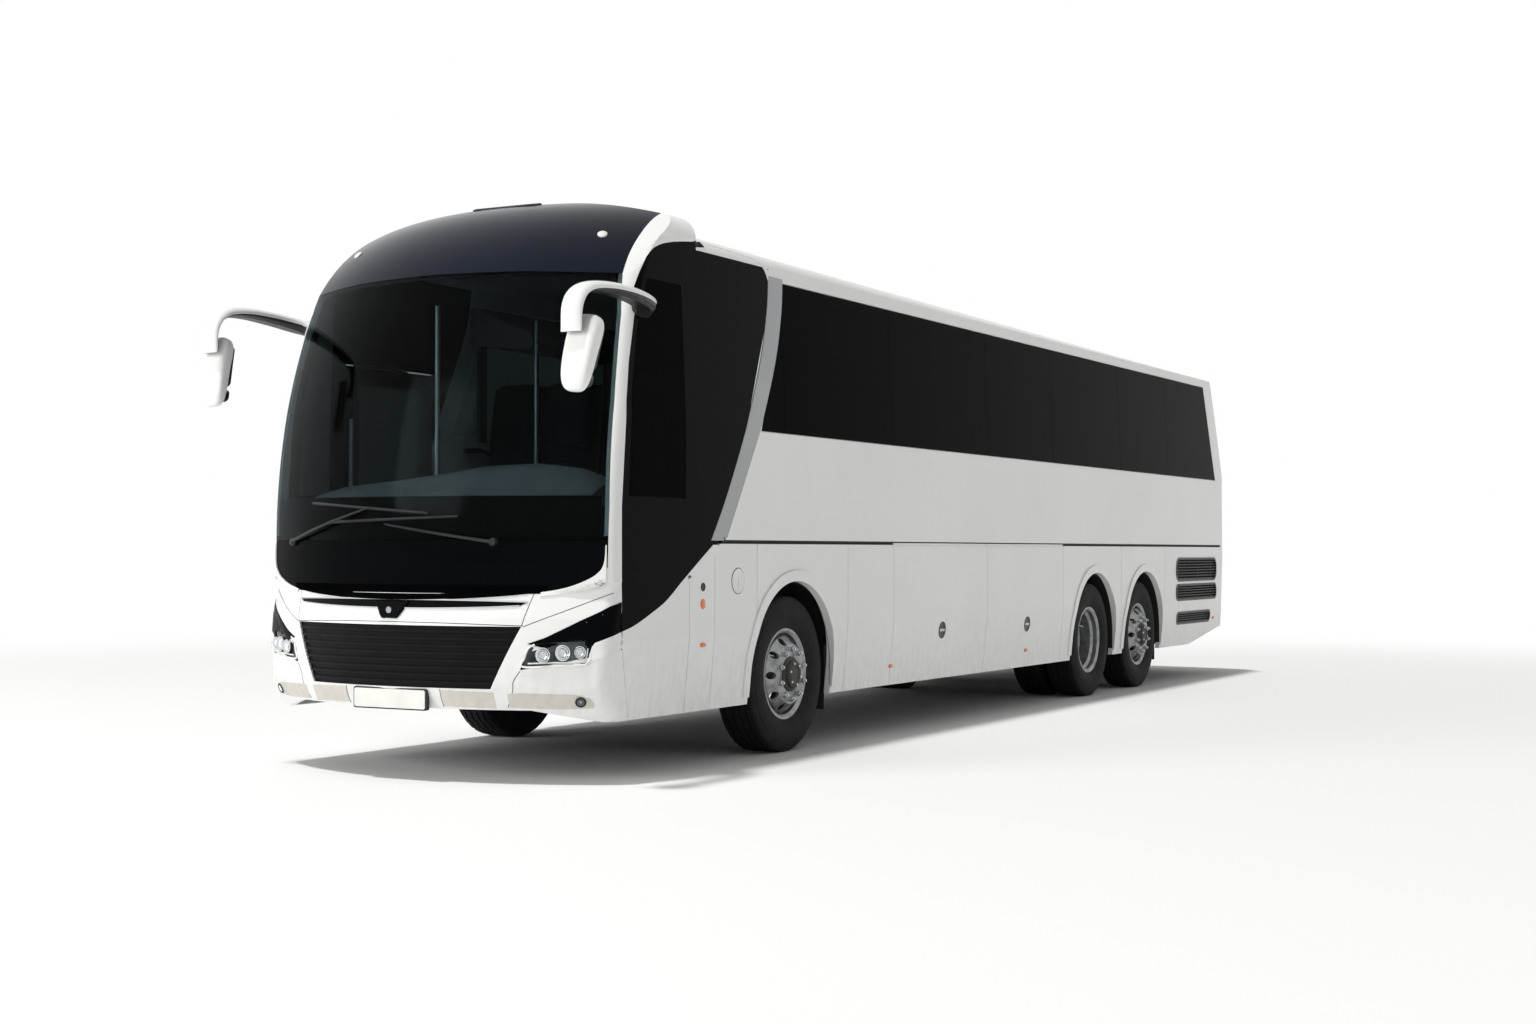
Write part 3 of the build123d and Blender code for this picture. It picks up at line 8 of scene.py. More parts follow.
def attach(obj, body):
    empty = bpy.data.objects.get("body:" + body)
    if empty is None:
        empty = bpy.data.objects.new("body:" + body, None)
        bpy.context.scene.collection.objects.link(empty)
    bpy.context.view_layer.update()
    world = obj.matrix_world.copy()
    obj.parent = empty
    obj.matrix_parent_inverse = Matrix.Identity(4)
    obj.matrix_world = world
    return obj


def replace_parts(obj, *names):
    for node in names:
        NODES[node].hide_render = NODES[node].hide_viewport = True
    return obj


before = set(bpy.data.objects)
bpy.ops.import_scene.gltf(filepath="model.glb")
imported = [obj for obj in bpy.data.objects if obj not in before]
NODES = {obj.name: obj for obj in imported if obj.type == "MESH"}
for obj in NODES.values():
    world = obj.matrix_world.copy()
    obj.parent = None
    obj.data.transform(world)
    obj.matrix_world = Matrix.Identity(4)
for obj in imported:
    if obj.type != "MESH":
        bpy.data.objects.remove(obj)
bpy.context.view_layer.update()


# --- Frame rails, axles and engine -------------------------------------------------------
# Welded steel rails, fabricated axle beams and forged knuckles, all sprayed in dark chassis
# paint before the body goes on.  The engine behind the tag axle is bare cast iron.
MM = 0.001
COLOUR = {"data_type": "RGBA"}
TIMES = {"operation": "MULTIPLY"}


def srgb(code):
    """Linear colour from a hex sRGB code."""
    parts = [int(code[i:i + 2], 16) / 255 for i in (0, 2, 4)]
    return [c / 12.92 if c < 0.0405 else ((c + 0.055) / 1.055) ** 2.4 for c in parts] + [1.0]


def wire(node, **inputs):
    """Give inputs a value or a link from a socket; i0 and i1 name inputs by their place."""
    for key, value in inputs.items():
        place = int(key[1:]) if key[0] == "i" and key[1:].isdigit() else key.replace("_", " ")
        if isinstance(value, bpy.types.NodeSocket):
            node.id_data.links.new(value, node.inputs[place])
        else:
            node.inputs[place].default_value = value


def add(mat, kind, out=0, settings=None, **inputs):
    """Add a node with its settings and links, and give the output that is wanted of it."""
    node = mat.node_tree.nodes.new("ShaderNode" + kind)
    for key, value in (settings or {}).items():
        setattr(node, key, value)
    wire(node, **inputs)
    return node.outputs[out]


def new_material(name, colour, **inputs):
    """Material with one plain shader, and that shader."""
    mat = bpy.data.materials.new(name)
    mat.use_nodes = True
    shader = mat.node_tree.nodes["Principled BSDF"]
    wire(shader, Base_Color=srgb(colour), **inputs)
    return mat, shader


def moulded(name, colour, shade, rough, grain=1.2, depth=0.08, **inputs):
    """Moulded or sprayed skin whose grain and its depth are in millimetres.

    Its tone is mottled in 120 mm clouds, and 30 mm patches are worn smoother.
    """
    mat, shader = new_material(name, colour, Roughness=rough, **inputs)
    place = add(mat, "TexCoord", "Object")
    clouds = add(mat, "TexNoise", Vector=place, Scale=1 / (120 * MM), Detail=5.0)
    clouds = add(mat, "MapRange", i0=clouds, i1=0.35, i2=0.7)
    wear = add(mat, "TexNoise", Vector=place, Scale=1 / (30 * MM), Detail=5.0)
    skin = add(mat, "TexNoise", Vector=place, Scale=1 / (grain * MM), Detail=2.0)
    wire(shader, Base_Color=add(mat, "Mix", 2, COLOUR, i0=clouds, i6=srgb(colour),
                                i7=srgb(shade)),
         Roughness=add(mat, "MapRange", i0=wear, i1=0.3, i2=0.7, i3=rough - 0.06,
                       i4=rough + 0.08),
         Normal=add(mat, "Bump", Height=skin, Distance=depth * MM))
    return mat


def dress(mat, *names):
    """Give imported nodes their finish."""
    for name in names:
        NODES[name].data.materials.clear()
        NODES[name].data.materials.append(mat)


def nodes_like(start):
    return [name for name in NODES if name.startswith(start)]


# Sprayed chassis paint on blasted steel: a dark satin skin with 10 mm unevenness and road dust.
CHASSIS = moulded("chassis_paint", "1C1C1D", "26241F", 0.55, grain=10, depth=0.6)
# Sand-cast iron: brown-black and half metallic, with the 6 mm pits that its mould leaves.
CAST = moulded("cast_iron", "2C2A28", "3A332C", 0.6, grain=6, depth=0.8, Metallic=0.6)
dress(CHASSIS, "chassis_rails", "axle_front", "axle_tag", "axle_drive", "front_door_arm",
      "mid_door_arm", *nodes_like("knuckle"))
dress(CAST, "engine")


# --- Wheels ------------------------------------------------------------------------------
# 22.5 inch pressed steel discs on ten studs, painted silver.  Front and tag wheels show the
# disc's bulge, and the drive axle's outer twins its dish with the planetary hub inside.
AXLE_X = {"front": 3.93, "drive": -2.13, "tag": -3.60}
TYRE_R = 0.524          # unloaded tyre, and the height of every axle
TRACK_Y = 1.080         # centre of a single wheel
TWIN_Y = (1.086, 0.758)     # centres of the outer and inner twin
STUD_RING = 0.1675      # half of the 335 mm stud circle
STUDS = 10
SHARP_DEG = 32          # edges steeper than this stay crisp


def make(name, verts, faces, mat, body="root", slot=None, bevel=0.0, mirror=False):
    """Mesh piece that rides on a body; mirror adds its copy across the centre line."""
    mesh = bpy.data.meshes.new(name)
    mesh.from_pydata([tuple(v) for v in verts], [], [tuple(f) for f in faces])
    bm = bmesh.new()
    bm.from_mesh(mesh)
    bmesh.ops.remove_doubles(bm, verts=bm.verts, dist=1e-6)
    if mirror:
        twin = bmesh.ops.duplicate(bm, geom=bm.verts[:] + bm.edges[:] + bm.faces[:])
        for v in twin["geom"]:
            if isinstance(v, bmesh.types.BMVert):
                v.co.y = -v.co.y
    bmesh.ops.recalc_face_normals(bm, faces=bm.faces)
    bm.to_mesh(mesh)
    bm.free()
    obj = bpy.data.objects.new(name, mesh)
    bpy.context.scene.collection.objects.link(obj)
    mesh.materials.append(mat)
    if bevel:
        mod = obj.modifiers.new("bevel", "BEVEL")
        mod.width, mod.segments, mod.limit_method = bevel, 2, "ANGLE"
        mod.harden_normals = True
    mesh.shade_smooth()
    mesh.set_sharp_from_angle(angle=radians(SHARP_DEG))
    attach(obj, body)
    return obj


class Part:
    """Collects solids of one material before they become one mesh."""

    def __init__(self):
        self.verts, self.faces = [], []

    def grow(self, verts, faces):
        base = len(self.verts)
        self.verts += [Vector(v) for v in verts]
        self.faces += [[base + i for i in f] for f in faces]
        return self

    def box(self, low, high):
        xs, ys, zs = zip(low, high)
        verts = [(x, y, z) for x in xs for y in ys for z in zs]
        return self.grow(verts, [(0, 1, 3, 2), (4, 6, 7, 5), (0, 4, 5, 1), (2, 3, 7, 6),
                                 (0, 2, 6, 4), (1, 5, 7, 3)])

    def loft(self, rings, closed=False, caps=True):
        """Skin over rings that have the same number of points."""
        n, count = len(rings[0]), len(rings)
        faces = []
        for k in range(count if closed else count - 1):
            a, b = k * n, (k + 1) % count * n
            faces += [(a + i, a + (i + 1) % n, b + (i + 1) % n, b + i) for i in range(n)]
        if caps and not closed:
            faces += [list(range(n))[::-1], [(count - 1) * n + i for i in range(n)]]
        return self.grow([v for ring in rings for v in ring], faces)

    def tube(self, path, radius, sides=12, closed=False):
        """Round bar along points; radius may be one number or one for each point."""
        path = [Vector(p) for p in path]
        rings, last = [], None
        for k, point in enumerate(path):
            before = path[k - 1] if k or closed else point
            after = path[(k + 1) % len(path)] if k + 1 < len(path) or closed else point
            along = (after - before).normalized()
            side = last if last else along.orthogonal()
            side = (side - along * side.dot(along)).normalized()
            last, up = side, along.cross(side)
            r = radius[k] if isinstance(radius, (list, tuple)) else radius
            rings.append([point + (side * cos(t) + up * sin(t)) * r
                          for t in (tau * i / sides for i in range(sides))])
        return self.loft(rings, closed)

    def turned(self, centre, axis, profile, sides=32):
        """Closed (along, radius) profile turned about an axis through centre."""
        axis = Vector(axis).normalized()
        side = axis.orthogonal().normalized()
        up = axis.cross(side)
        rings = [[Vector(centre) + axis * a + (side * cos(t) + up * sin(t)) * r
                  for a, r in profile] for t in (tau * i / sides for i in range(sides))]
        return self.loft(rings, closed=True, caps=False)

    def hexagon(self, centre, axis, across, height):
        axis = Vector(axis).normalized()
        side = axis.orthogonal().normalized()
        up = axis.cross(side)
        r = across / 2 / cos(pi / 6)
        rings = [[Vector(centre) + axis * a + (side * cos(t) + up * sin(t)) * r * s
                  for t in (tau * i / 6 for i in range(6))]
                 for a, s in ((0, 1), (height * 0.85, 1), (height, 0.88))]
        return self.loft(rings)

    def done(self, name, mat, **options):
        return make(name, self.verts, self.faces, mat, **options)


def steel_rim():
    """Silver wheel paint: a soft metallic sheen, greyed by brake dust in 60 mm clouds."""
    mat, shader = new_material("wheel_steel", "9A9C9E", Roughness=0.38, Metallic=0.75)
    place = add(mat, "TexCoord", "Object")
    dust = add(mat, "TexNoise", Vector=place, Scale=1 / (60 * MM), Detail=6.0)
    dust = add(mat, "MapRange", i0=dust, i1=0.38, i2=0.72)
    gloss = add(mat, "TexNoise", Vector=place, Scale=1 / (20 * MM), Detail=4.0)
    skin = add(mat, "TexNoise", Vector=place, Scale=1 / (3 * MM), Detail=2.0)
    wire(shader, Base_Color=add(mat, "Mix", 2, COLOUR, i0=dust, i6=srgb("9A9C9E"),
                                i7=srgb("716F6B")),
         Roughness=add(mat, "MapRange", i0=gloss, i1=0.3, i2=0.7, i3=0.3, i4=0.5),
         Normal=add(mat, "Bump", Height=skin, Distance=0.1 * MM))
    return mat


RIM = steel_rim()
# Zinc-plated steel of nuts, bolts and poles: pale metal whose glint is broken by a 2 mm grain.
BRIGHT = moulded("bright_metal", "C3C5C6", "AEB0B2", 0.32, grain=2, depth=0.05, Metallic=0.9)
# Profiles along and across the axle, from the disc's face: the drive axle's hub is longer.
HUB_DISHED = [(-0.020, 0.000), (-0.020, 0.125), (0.010, 0.125), (0.014, 0.120), (0.050, 0.112),
              (0.058, 0.104), (0.062, 0.070), (0.086, 0.062), (0.092, 0.054), (0.092, 0.000)]
HUB_BULGED = [(-0.010, 0.000), (-0.010, 0.118), (0.006, 0.118), (0.010, 0.112), (0.016, 0.098),
              (0.030, 0.094), (0.038, 0.084), (0.042, 0.060), (0.036, 0.052), (0.036, 0.000)]
FLANGE = [(0.100, 0.290), (0.100, 0.3035), (0.112, 0.3065), (0.1185, 0.3050), (0.1190, 0.2960),
          (0.1170, 0.2880), (0.108, 0.2860)]
WASHER = [(0, 0), (0, 0.021), (0.004, 0.021), (0.005, 0.017), (0.005, 0)]
STUD_END = [(0, 0), (0, 0.010), (0.018, 0.010), (0.020, 0.008), (0.020, 0)]
DISC_OFFSET = 0.157     # from a wheel's centre to its disc's face, out or in


def wheel_dress(tag, body, x, y, side, dished=False):
    """Nuts, hub cover, rim flange and valve of one wheel; dished is the outer twin."""
    out = Vector((0, side, 0))
    face = y - DISC_OFFSET + 0.013 if dished else y + DISC_OFFSET

    def on_ring(radius, turn, along):
        return Vector((x + radius * cos(turn), side * (face + along), TYRE_R + radius * sin(turn)))

    nuts, caps = Part(), Part()
    for k in range(STUDS):
        spot = on_ring(STUD_RING, tau * (k + 0.5) / STUDS, -0.001)
        nuts.turned(spot, out, WASHER, 16)
        nuts.hexagon(spot + out * 0.004, out, 0.033, 0.024)
        nuts.turned(spot + out * 0.020, out, STUD_END, 12)
    nuts.done(f"wheel_nuts_{tag}", BRIGHT, body=body, slot="wheel_steel")
    hub = Part().turned(on_ring(0, 0, 0), out, HUB_DISHED if dished else HUB_BULGED, 40)
    hub.done(f"hub_cover_{tag}", CHASSIS, body=body, slot="wheel_steel")
    count, ring, top = (10, 0.088, 0.056) if dished else (6, 0.072, 0.034)
    for k in range(count):
        caps.hexagon(on_ring(ring, tau * (k + 0.25) / count, top), out, 0.017, 0.012)
    caps.done(f"hub_bolts_{tag}", BRIGHT, body=body, slot="wheel_steel")
    rim = Part().turned(Vector((x, side * y, TYRE_R)), out, FLANGE, 96)
    rim.done(f"rim_flange_{tag}", RIM, body=body, slot="wheel_steel")
    turn = 0.6
    valve = Part().tube([(x + r * cos(turn), side * (y + a), TYRE_R + r * sin(turn))
                         for a, r in ((0.090, 0.250), (0.108, 0.235), (0.128, 0.222))],
                        [0.004, 0.004, 0.005], 8)
    valve.done(f"valve_{tag}", BRIGHT, body=body, slot="wheel_steel")


SIDES = {"left": 1, "right": -1}
for tag, side in SIDES.items():
    for axle in ("front", "tag"):
        wheel_dress(f"{axle}_{tag}", f"wheel_{axle}_{tag}", AXLE_X[axle], TRACK_Y, side)
    wheel_dress(f"drive_{tag}", f"wheels_drive_{tag}", AXLE_X["drive"], TWIN_Y[0], side,
                dished=True)
dress(RIM, *nodes_like("wheel"))


# --- Tyres -------------------------------------------------------------------------------
# 295/80 R22.5 coach tyres, moulded black rubber: four zigzag grooves between the ribs, notched
# shoulders and a smooth wall that tucks in to the bead.
def tyre_rubber():
    """Vulcanised rubber: near black and dull, with dust in 80 mm patches."""
    mat, shader = new_material("tyre_rubber", "0B0B0C", Roughness=0.8, Specular_IOR_Level=0.25)
    place = add(mat, "TexCoord", "Object")
    dust = add(mat, "TexNoise", Vector=place, Scale=1 / (80 * MM), Detail=8.0)
    dust = add(mat, "MapRange", i0=dust, i1=0.4, i2=0.8)
    skin = add(mat, "TexNoise", Vector=place, Scale=1 / (4 * MM), Detail=4.0)
    wire(shader, Base_Color=add(mat, "Mix", 2, COLOUR, i0=dust, i6=srgb("0A0A0B"),
                                i7=srgb("1C1B19")),
         Normal=add(mat, "Bump", Height=skin, Distance=0.5 * MM))
    return mat


TYRE = tyre_rubber()
# Half section, from bead to shoulder: distance from the tyre's middle, radius.
WALL = [(0.104, 0.2865), (0.106, 0.302), (0.119, 0.306), (0.126, 0.320), (0.136, 0.345),
        (0.1455, 0.380), (0.1478, 0.405), (0.1462, 0.440), (0.1420, 0.466), (0.1395, 0.4665),
        (0.1375, 0.484), (0.1330, 0.497), (0.1270, 0.5115), (0.1200, 0.519)]
GROOVES = (0.078, 0.026, -0.026, -0.078)
GROOVE_HALF, GROOVE_FLOOR, TREAD_R = 0.0055, 0.5105, 0.5235
ZIGZAG, NOTCH = 0.0045, 0.004


def tyre_rings(x, y, side, steps=240):
    """Cross sections of one tyre round its axle."""
    rings = []
    for k in range(steps):
        turn = tau * k / steps
        shift = ZIGZAG * (1 if k % 8 < 4 else -1) * (1 if k % 4 in (1, 2) else 0.3)
        line = list(WALL)
        for g in GROOVES:
            line += [(g + shift + GROOVE_HALF * share, r)
                     for share, r in ((1, TREAD_R), (0.6, GROOVE_FLOOR), (-0.6, GROOVE_FLOOR),
                                      (-1, TREAD_R))]
        line += [(-a, r) for a, r in reversed(WALL)]
        line = [(a, r - NOTCH if abs(a) > 0.117 and r > 0.515 and k % 6 < 1 else r)
                for a, r in line]
        rings.append([Vector((x + r * cos(turn), side * (y + a), TYRE_R + r * sin(turn)))
                      for a, r in line])
    return rings


for tag, side in SIDES.items():
    for axle in ("front", "tag"):
        tyre = Part().loft(tyre_rings(AXLE_X[axle], TRACK_Y, side), closed=True, caps=False)
        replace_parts(tyre.done(f"tyre_tread_{axle}_{tag}", TYRE, body=f"wheel_{axle}_{tag}",
                              slot="tyre"), f"tyre_{axle}_{tag}")
    pair = Part()
    for y in TWIN_Y:
        pair.loft(tyre_rings(AXLE_X["drive"], y, side), closed=True, caps=False)
    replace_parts(pair.done(f"tyre_tread_drive_{tag}", TYRE, body=f"wheels_drive_{tag}",
                          slot="tyre"), f"tyres_drive_{tag}")
dress(TYRE, *nodes_like("tyre"))


# --- Wheel arches ------------------------------------------------------------------------
# Pressed plastic liners clip inside each arch, and moulded rubber flaps hang behind the
# wheels.  The front liners step outwards so that the tyres clear them at full lock.

# Injection-moulded black plastic: dark grey and half dull, from a 1.2 mm leather grain.
PLASTIC = moulded("black_plastic", "17181A", "1D1E20", 0.45)
# Extruded rubber: a flat black that shows almost no gloss.
RUBBER = moulded("rubber", "101011", "181819", 0.62)
LINER_R, ARCH_Z, LINER_FOOT_Z, LINER_IN_Y = 0.590, 0.550, 0.420, 0.620
LINER = ((0.0, 1.235), (0.004, 1.235), (0.004, LINER_IN_Y), (0.0, LINER_IN_Y))
STEPPED_LINER = ((0.0, 1.235), (0.004, 1.236), (0.070, 1.200), (0.070, LINER_IN_Y),
                 (0.066, LINER_IN_Y), (0.066, 1.196))
liners = Part()
for axle, x in AXLE_X.items():
    turns = [pi * k / 36 for k in range(37)]
    spine = [(x + LINER_R, LINER_FOOT_Z, 0.0)]
    spine += [(x + LINER_R * cos(t), ARCH_Z + LINER_R * sin(t), t) for t in turns]
    spine += [(x - LINER_R, LINER_FOOT_Z, pi)]
    section = STEPPED_LINER if axle == "front" else LINER
    liners.loft([[(px + g * cos(t), y, pz + g * sin(t)) for g, y in section]
                 for px, pz, t in spine])
liners.done("arch_liners", PLASTIC, slot="black_plastic", mirror=True)
dress(RUBBER, "mud_flaps")


# --- Floors and luggage hold -------------------------------------------------------------
# Plywood decks under rubber sheet, with steps down to the doors, over a hold whose floor and
# bulkheads are lined in grey panels.

# Rubber floor sheet: dark grey, rough and flecked, over a 3 mm pimple.
FLOOR = moulded("saloon_floor", "3A3B3D", "2F3032", 0.7, grain=3, depth=0.3)
# Grey trim of dashboards and linings: a matt vinyl with a 2 mm grain.
TRIM_GREY = moulded("trim_grey", "55575A", "4C4E52", 0.6, grain=2, depth=0.2)
dress(FLOOR, "passenger_floor", "cab_floor")
dress(TRIM_GREY, "luggage_hold")


# --- Seats -------------------------------------------------------------------------------
# Double reclining seats on steel legs: foam cushions and tall backs under stretched moquette,
# leathercloth head pads, a moulded shell behind and padded armrests.
def seat_cloth():
    """Woven moquette: a soft dark blue-grey with pale flecks 26 mm apart.

    Its rib is drawn 5.5 mm wide, coarser than the real pile, so that it shows.
    """
    mat, shader = new_material("seat_cloth", "20242E", Roughness=0.9, Sheen_Weight=0.3)
    place = add(mat, "TexCoord", "Object")
    clouds = add(mat, "TexNoise", Vector=place, Scale=1 / (200 * MM), Detail=3.0)
    clouds = add(mat, "MapRange", i0=clouds, i1=0.4, i2=0.6)
    base = add(mat, "Mix", 2, COLOUR, i0=clouds, i6=srgb("1D2230"), i7=srgb("262B38"))
    flecks = add(mat, "TexVoronoi", "Distance", Vector=place, Scale=38.0)
    flecks = add(mat, "MapRange", i0=flecks, i1=0.16, i2=0.10)
    rib = add(mat, "TexWave", "Fac", {"wave_type": "BANDS", "bands_direction": "DIAGONAL"},
              Vector=place, Scale=180.0)
    wire(shader, Base_Color=add(mat, "Mix", 2, COLOUR, i0=flecks, i6=base, i7=srgb("5E7186")),
         Normal=add(mat, "Bump", Height=rib, Distance=0.6 * MM))
    return mat


CLOTH = seat_cloth()
# Leathercloth: smooth dark grey with the faint gloss of embossed vinyl.
LEATHERETTE = moulded("headrest_trim", "2A2C31", "33353B", 0.5, grain=4, depth=0.4)
DECK_Z, CAB_Z, DRIVER_PLINTH = 1.430, 0.980, 0.150
ROWS, FIRST_ROW_X, PITCH_X = 13, 4.480, 0.800
SEAT_INNER_Y, SEAT_OUTER_Y = 0.240, 1.160
STAIRWELL_X = (-1.305, -0.345)      # no seats on the right beside the middle door
RECLINE = -0.13                     # radians


def mesh_data(bm):
    """Points and faces of a working mesh, which is then let go."""
    bm.verts.index_update()
    data = [v.co.copy() for v in bm.verts], [[v.index for v in f.verts] for f in bm.faces]
    bm.free()
    return data


def cushion(low, high, crown):
    """Closed soft block whose faces bulge and whose edges pull in."""
    lo, hi = Vector(low), Vector(high)
    bm = bmesh.new()
    bmesh.ops.create_cube(bm, size=2.0)
    bmesh.ops.subdivide_edges(bm, edges=bm.edges[:], cuts=5, use_grid_fill=True)
    centre, half = (lo + hi) / 2, (hi - lo) / 2
    for v in bm.verts:
        ball = v.co.normalized() * 1.25
        x, y, z = v.co.lerp(Vector([max(-1, min(1, c)) for c in ball]), 0.22)
        grow = crown * (1 - x * x) * (1 - y * y)
        v.co = centre + Vector((x * half.x, y * half.y, z * (half.z + grow) - crown * abs(z) * 0.5))
    return mesh_data(bm)


def tip_back(verts, pivot):
    """Lean a seat back by its recline about a line across the seat."""
    turn = Matrix.Rotation(RECLINE, 3, "Y")
    return [turn @ (v - pivot) + pivot for v in verts]


soft, wings, frames, arms = Part(), Part(), Part(), Part()


def coach_seat(x, floor, y0, y1):
    """One double seat, or a single one, facing forward with its front edge at x."""
    count = 2 if y1 - y0 > 0.7 else 1
    each = (y1 - y0) / count
    for n in range(count):
        a, b = y0 + n * each + 0.012, y0 + (n + 1) * each - 0.012
        hinge = Vector((x - 0.45, a, floor + 0.43))
        soft.grow(*cushion((x - 0.46, a, floor + 0.352), (x - 0.005, b, floor + 0.448), 0.02))
        verts, faces = cushion((x - 0.50, a, floor + 0.43), (x - 0.40, b, floor + 1.10), 0.0)
        for v in verts:
            v.x += 0.018 * sin(pi * min(max((v.z - floor - 0.43) / 0.67, 0), 1))
        soft.grow(tip_back(verts, hinge), faces)
        verts, faces = cushion((x - 0.475, a + 0.05, floor + 0.93),
                               (x - 0.385, b - 0.05, floor + 1.105), 0.01)
        wings.grow(tip_back(verts, hinge), faces)
    shell = Part().box((x - 0.515, y0 + 0.02, floor + 0.40), (x - 0.495, y1 - 0.02, floor + 1.06))
    frames.grow(tip_back(shell.verts, Vector((x - 0.45, y0, floor + 0.43))), shell.faces)
    frames.box((x - 0.47, y0 + 0.03, floor + 0.325), (x - 0.02, y1 - 0.03, floor + 0.355))
    for y in (y0 + 0.06, y1 - 0.10):
        frames.box((x - 0.36, y, floor), (x - 0.11, y + 0.04, floor + 0.33))
    for y in (y0 + 0.02, y1 - 0.02):
        arms.tube([(x - 0.44, y, floor + 0.60), (x - 0.30, y, floor + 0.625),
                   (x - 0.12, y, floor + 0.62)], 0.018, 8)


for row in range(ROWS):
    x = FIRST_ROW_X - row * PITCH_X
    coach_seat(x, DECK_Z, SEAT_INNER_Y, SEAT_OUTER_Y)
    if not (x > STAIRWELL_X[0] and x - 0.610 < STAIRWELL_X[1]):
        coach_seat(x, DECK_Z, -SEAT_OUTER_Y, -SEAT_INNER_Y)
coach_seat(5.320, CAB_Z + DRIVER_PLINTH, 0.360, 0.860)
frames.box((4.960, 0.41, CAB_Z), (5.210, 0.81, CAB_Z + DRIVER_PLINTH))
dress(CLOTH, "seats")
cloth = soft.done("seat_cushions", CLOTH, slot="seat_fabric")
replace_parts(cloth, "seats")
pads = wings.done("head_pads", LEATHERETTE, slot="seat_fabric")
frames.done("seat_frames", PLASTIC, slot="black_plastic", bevel=0.004)
arms.done("seat_armrests", PLASTIC, slot="black_plastic")


# --- Saloon fittings ---------------------------------------------------------------------
# Bent tube poles bolt to the floor by the doors, and foamed luggage racks run along both sides
# under the roof, screwed to the pillars between the windows.

# Pale trim vinyl: the same matt grain as the linings, in a lighter grey.
TRIM_LIGHT = moulded("trim_light", "8E9093", "85878A", 0.6, grain=2, depth=0.2)
RACK_X = (-6.0, 4.3)
RACK_SECTION = [(0.62, 2.74), (1.15, 2.80), (1.15, 3.05), (1.12, 3.07), (0.62, 2.86), (0.60, 2.80)]
PILLAR_X = (4.10, 2.384, 0.515, -1.001, -2.840, -4.340)


def smooth_path(points, steps=8):
    """Catmull-Rom line through points."""
    pts = [Vector(p) for p in points]
    pts = [pts[0] * 2 - pts[1], *pts, pts[-1] * 2 - pts[-2]]
    line = []
    for a, b, c, d in zip(pts, pts[1:], pts[2:], pts[3:]):
        for k in range(steps):
            t = k / steps
            line.append((b * 2 + (c - a) * t + (a * 2 - b * 5 + c * 4 - d) * t * t
                         + (b * 3 - a - c * 3 + d) * t * t * t) / 2)
    return line + [pts[-2]]


poles = Part()
for x, y in ((5.62, -0.42), (4.62, -0.35)):
    poles.tube([(x, y, CAB_Z + 0.01), (x, y, 2.9)], 0.017, 12)
poles.tube(smooth_path([(5.60, -1.10, 1.05), (5.62, -1.12, 1.5), (5.62, -1.12, 2.2)]), 0.015, 10)
poles.done("grab_poles", BRIGHT)

racks = Part()
for side in SIDES.values():
    racks.loft([[(x, y * side, z) for y, z in RACK_SECTION] for x in RACK_X])
racks.done("luggage_racks", TRIM_LIGHT, slot="trim_grey", bevel=0.006)

posts = Part()
for x in PILLAR_X:
    posts.box((x - 0.04, 1.17, 2.12), (x + 0.04, 1.20, 3.06))
posts.done("inner_pillars", TRIM_GREY, slot="trim_grey", mirror=True)


# --- Dashboard ---------------------------------------------------------------------------
# A foamed cover rises along the foot of the windscreen, highest before the driver, over the
# moulded dashboard with its hooded instruments.

# Ridge of the cover from the left side to the right: y, z.
RIDGE = [(1.10, 1.76), (0.95, 1.83), (0.70, 1.86), (0.40, 1.85), (0.10, 1.81), (-0.30, 1.77),
         (-0.80, 1.74), (-1.10, 1.70)]
HOOD = [(5.735, 1.520), (5.700, 1.600), (5.735, 1.720), (5.800, 1.735), (5.950, 1.620),
        (5.950, 1.560)]
DIAL = [(0, 0), (0, 0.055), (0.006, 0.057), (0.008, 0.050), (0.003, 0.046), (0.003, 0)]


def surface_of(*names):
    """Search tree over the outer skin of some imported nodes."""
    verts, faces = [], []
    for name in names:
        base = len(verts)
        mesh = NODES[name].data
        verts += [v.co.copy() for v in mesh.vertices]
        faces += [[base + i for i in p.vertices] for p in mesh.polygons]
    return BVHTree.FromPolygons(verts, faces)


SKIN = surface_of("windscreen", "front_lid", "dome", "pillar_arch", "front_mask", "front_grille",
                  "headlamp_bezels", "bumpers", "cab_sides", "skirts", "waist_panels", "roof",
                  "swept_strips", "rear_wall", "engine_lid", "windows", "belt_rails",
                  *nodes_like("luggage_flap"), "front_door", "mid_door")


def seen_on(origin, aim, lift=0.0):
    """Point and outward normal where a line of sight meets the body."""
    spot, normal, _, _ = SKIN.ray_cast(Vector(origin), Vector(aim))
    return spot + normal * lift, normal


def front(y, z, lift=0.0):
    """Point on the nose seen from ahead."""
    return seen_on((9, y, z), (-1, 0, 0), lift)[0]


cowl, rings = Part(), []
for y, z in RIDGE:
    x = front(y, 1.70).x - 0.075
    rings.append([(x, y, 1.60), (x - 0.02, y, 1.665), (x - 0.15, y, z - 0.035),
                  (x - 0.24, y, z), (x - 0.33, y, z - 0.012), (x - 0.37, y, z - 0.06),
                  (x - 0.37, y, 1.60)])
cowl.loft(rings)
cowl.done("dash_cover", TRIM_LIGHT, slot="trim_grey", bevel=0.006)
hood = Part().loft([[(x, y, z) for x, z in HOOD] for y in (0.28, 0.92)])
hood.done("instrument_hood", PLASTIC, slot="black_plastic", bevel=0.012)
dials = Part()
for y in (0.46, 0.60, 0.74):
    dials.turned((5.714, y, 1.650), (-0.95, 0, 0.3), DIAL, 28)
dials.done("instrument_dials", BRIGHT)
dress(TRIM_GREY, "dashboard")
dress(PLASTIC, "steering_wheel")


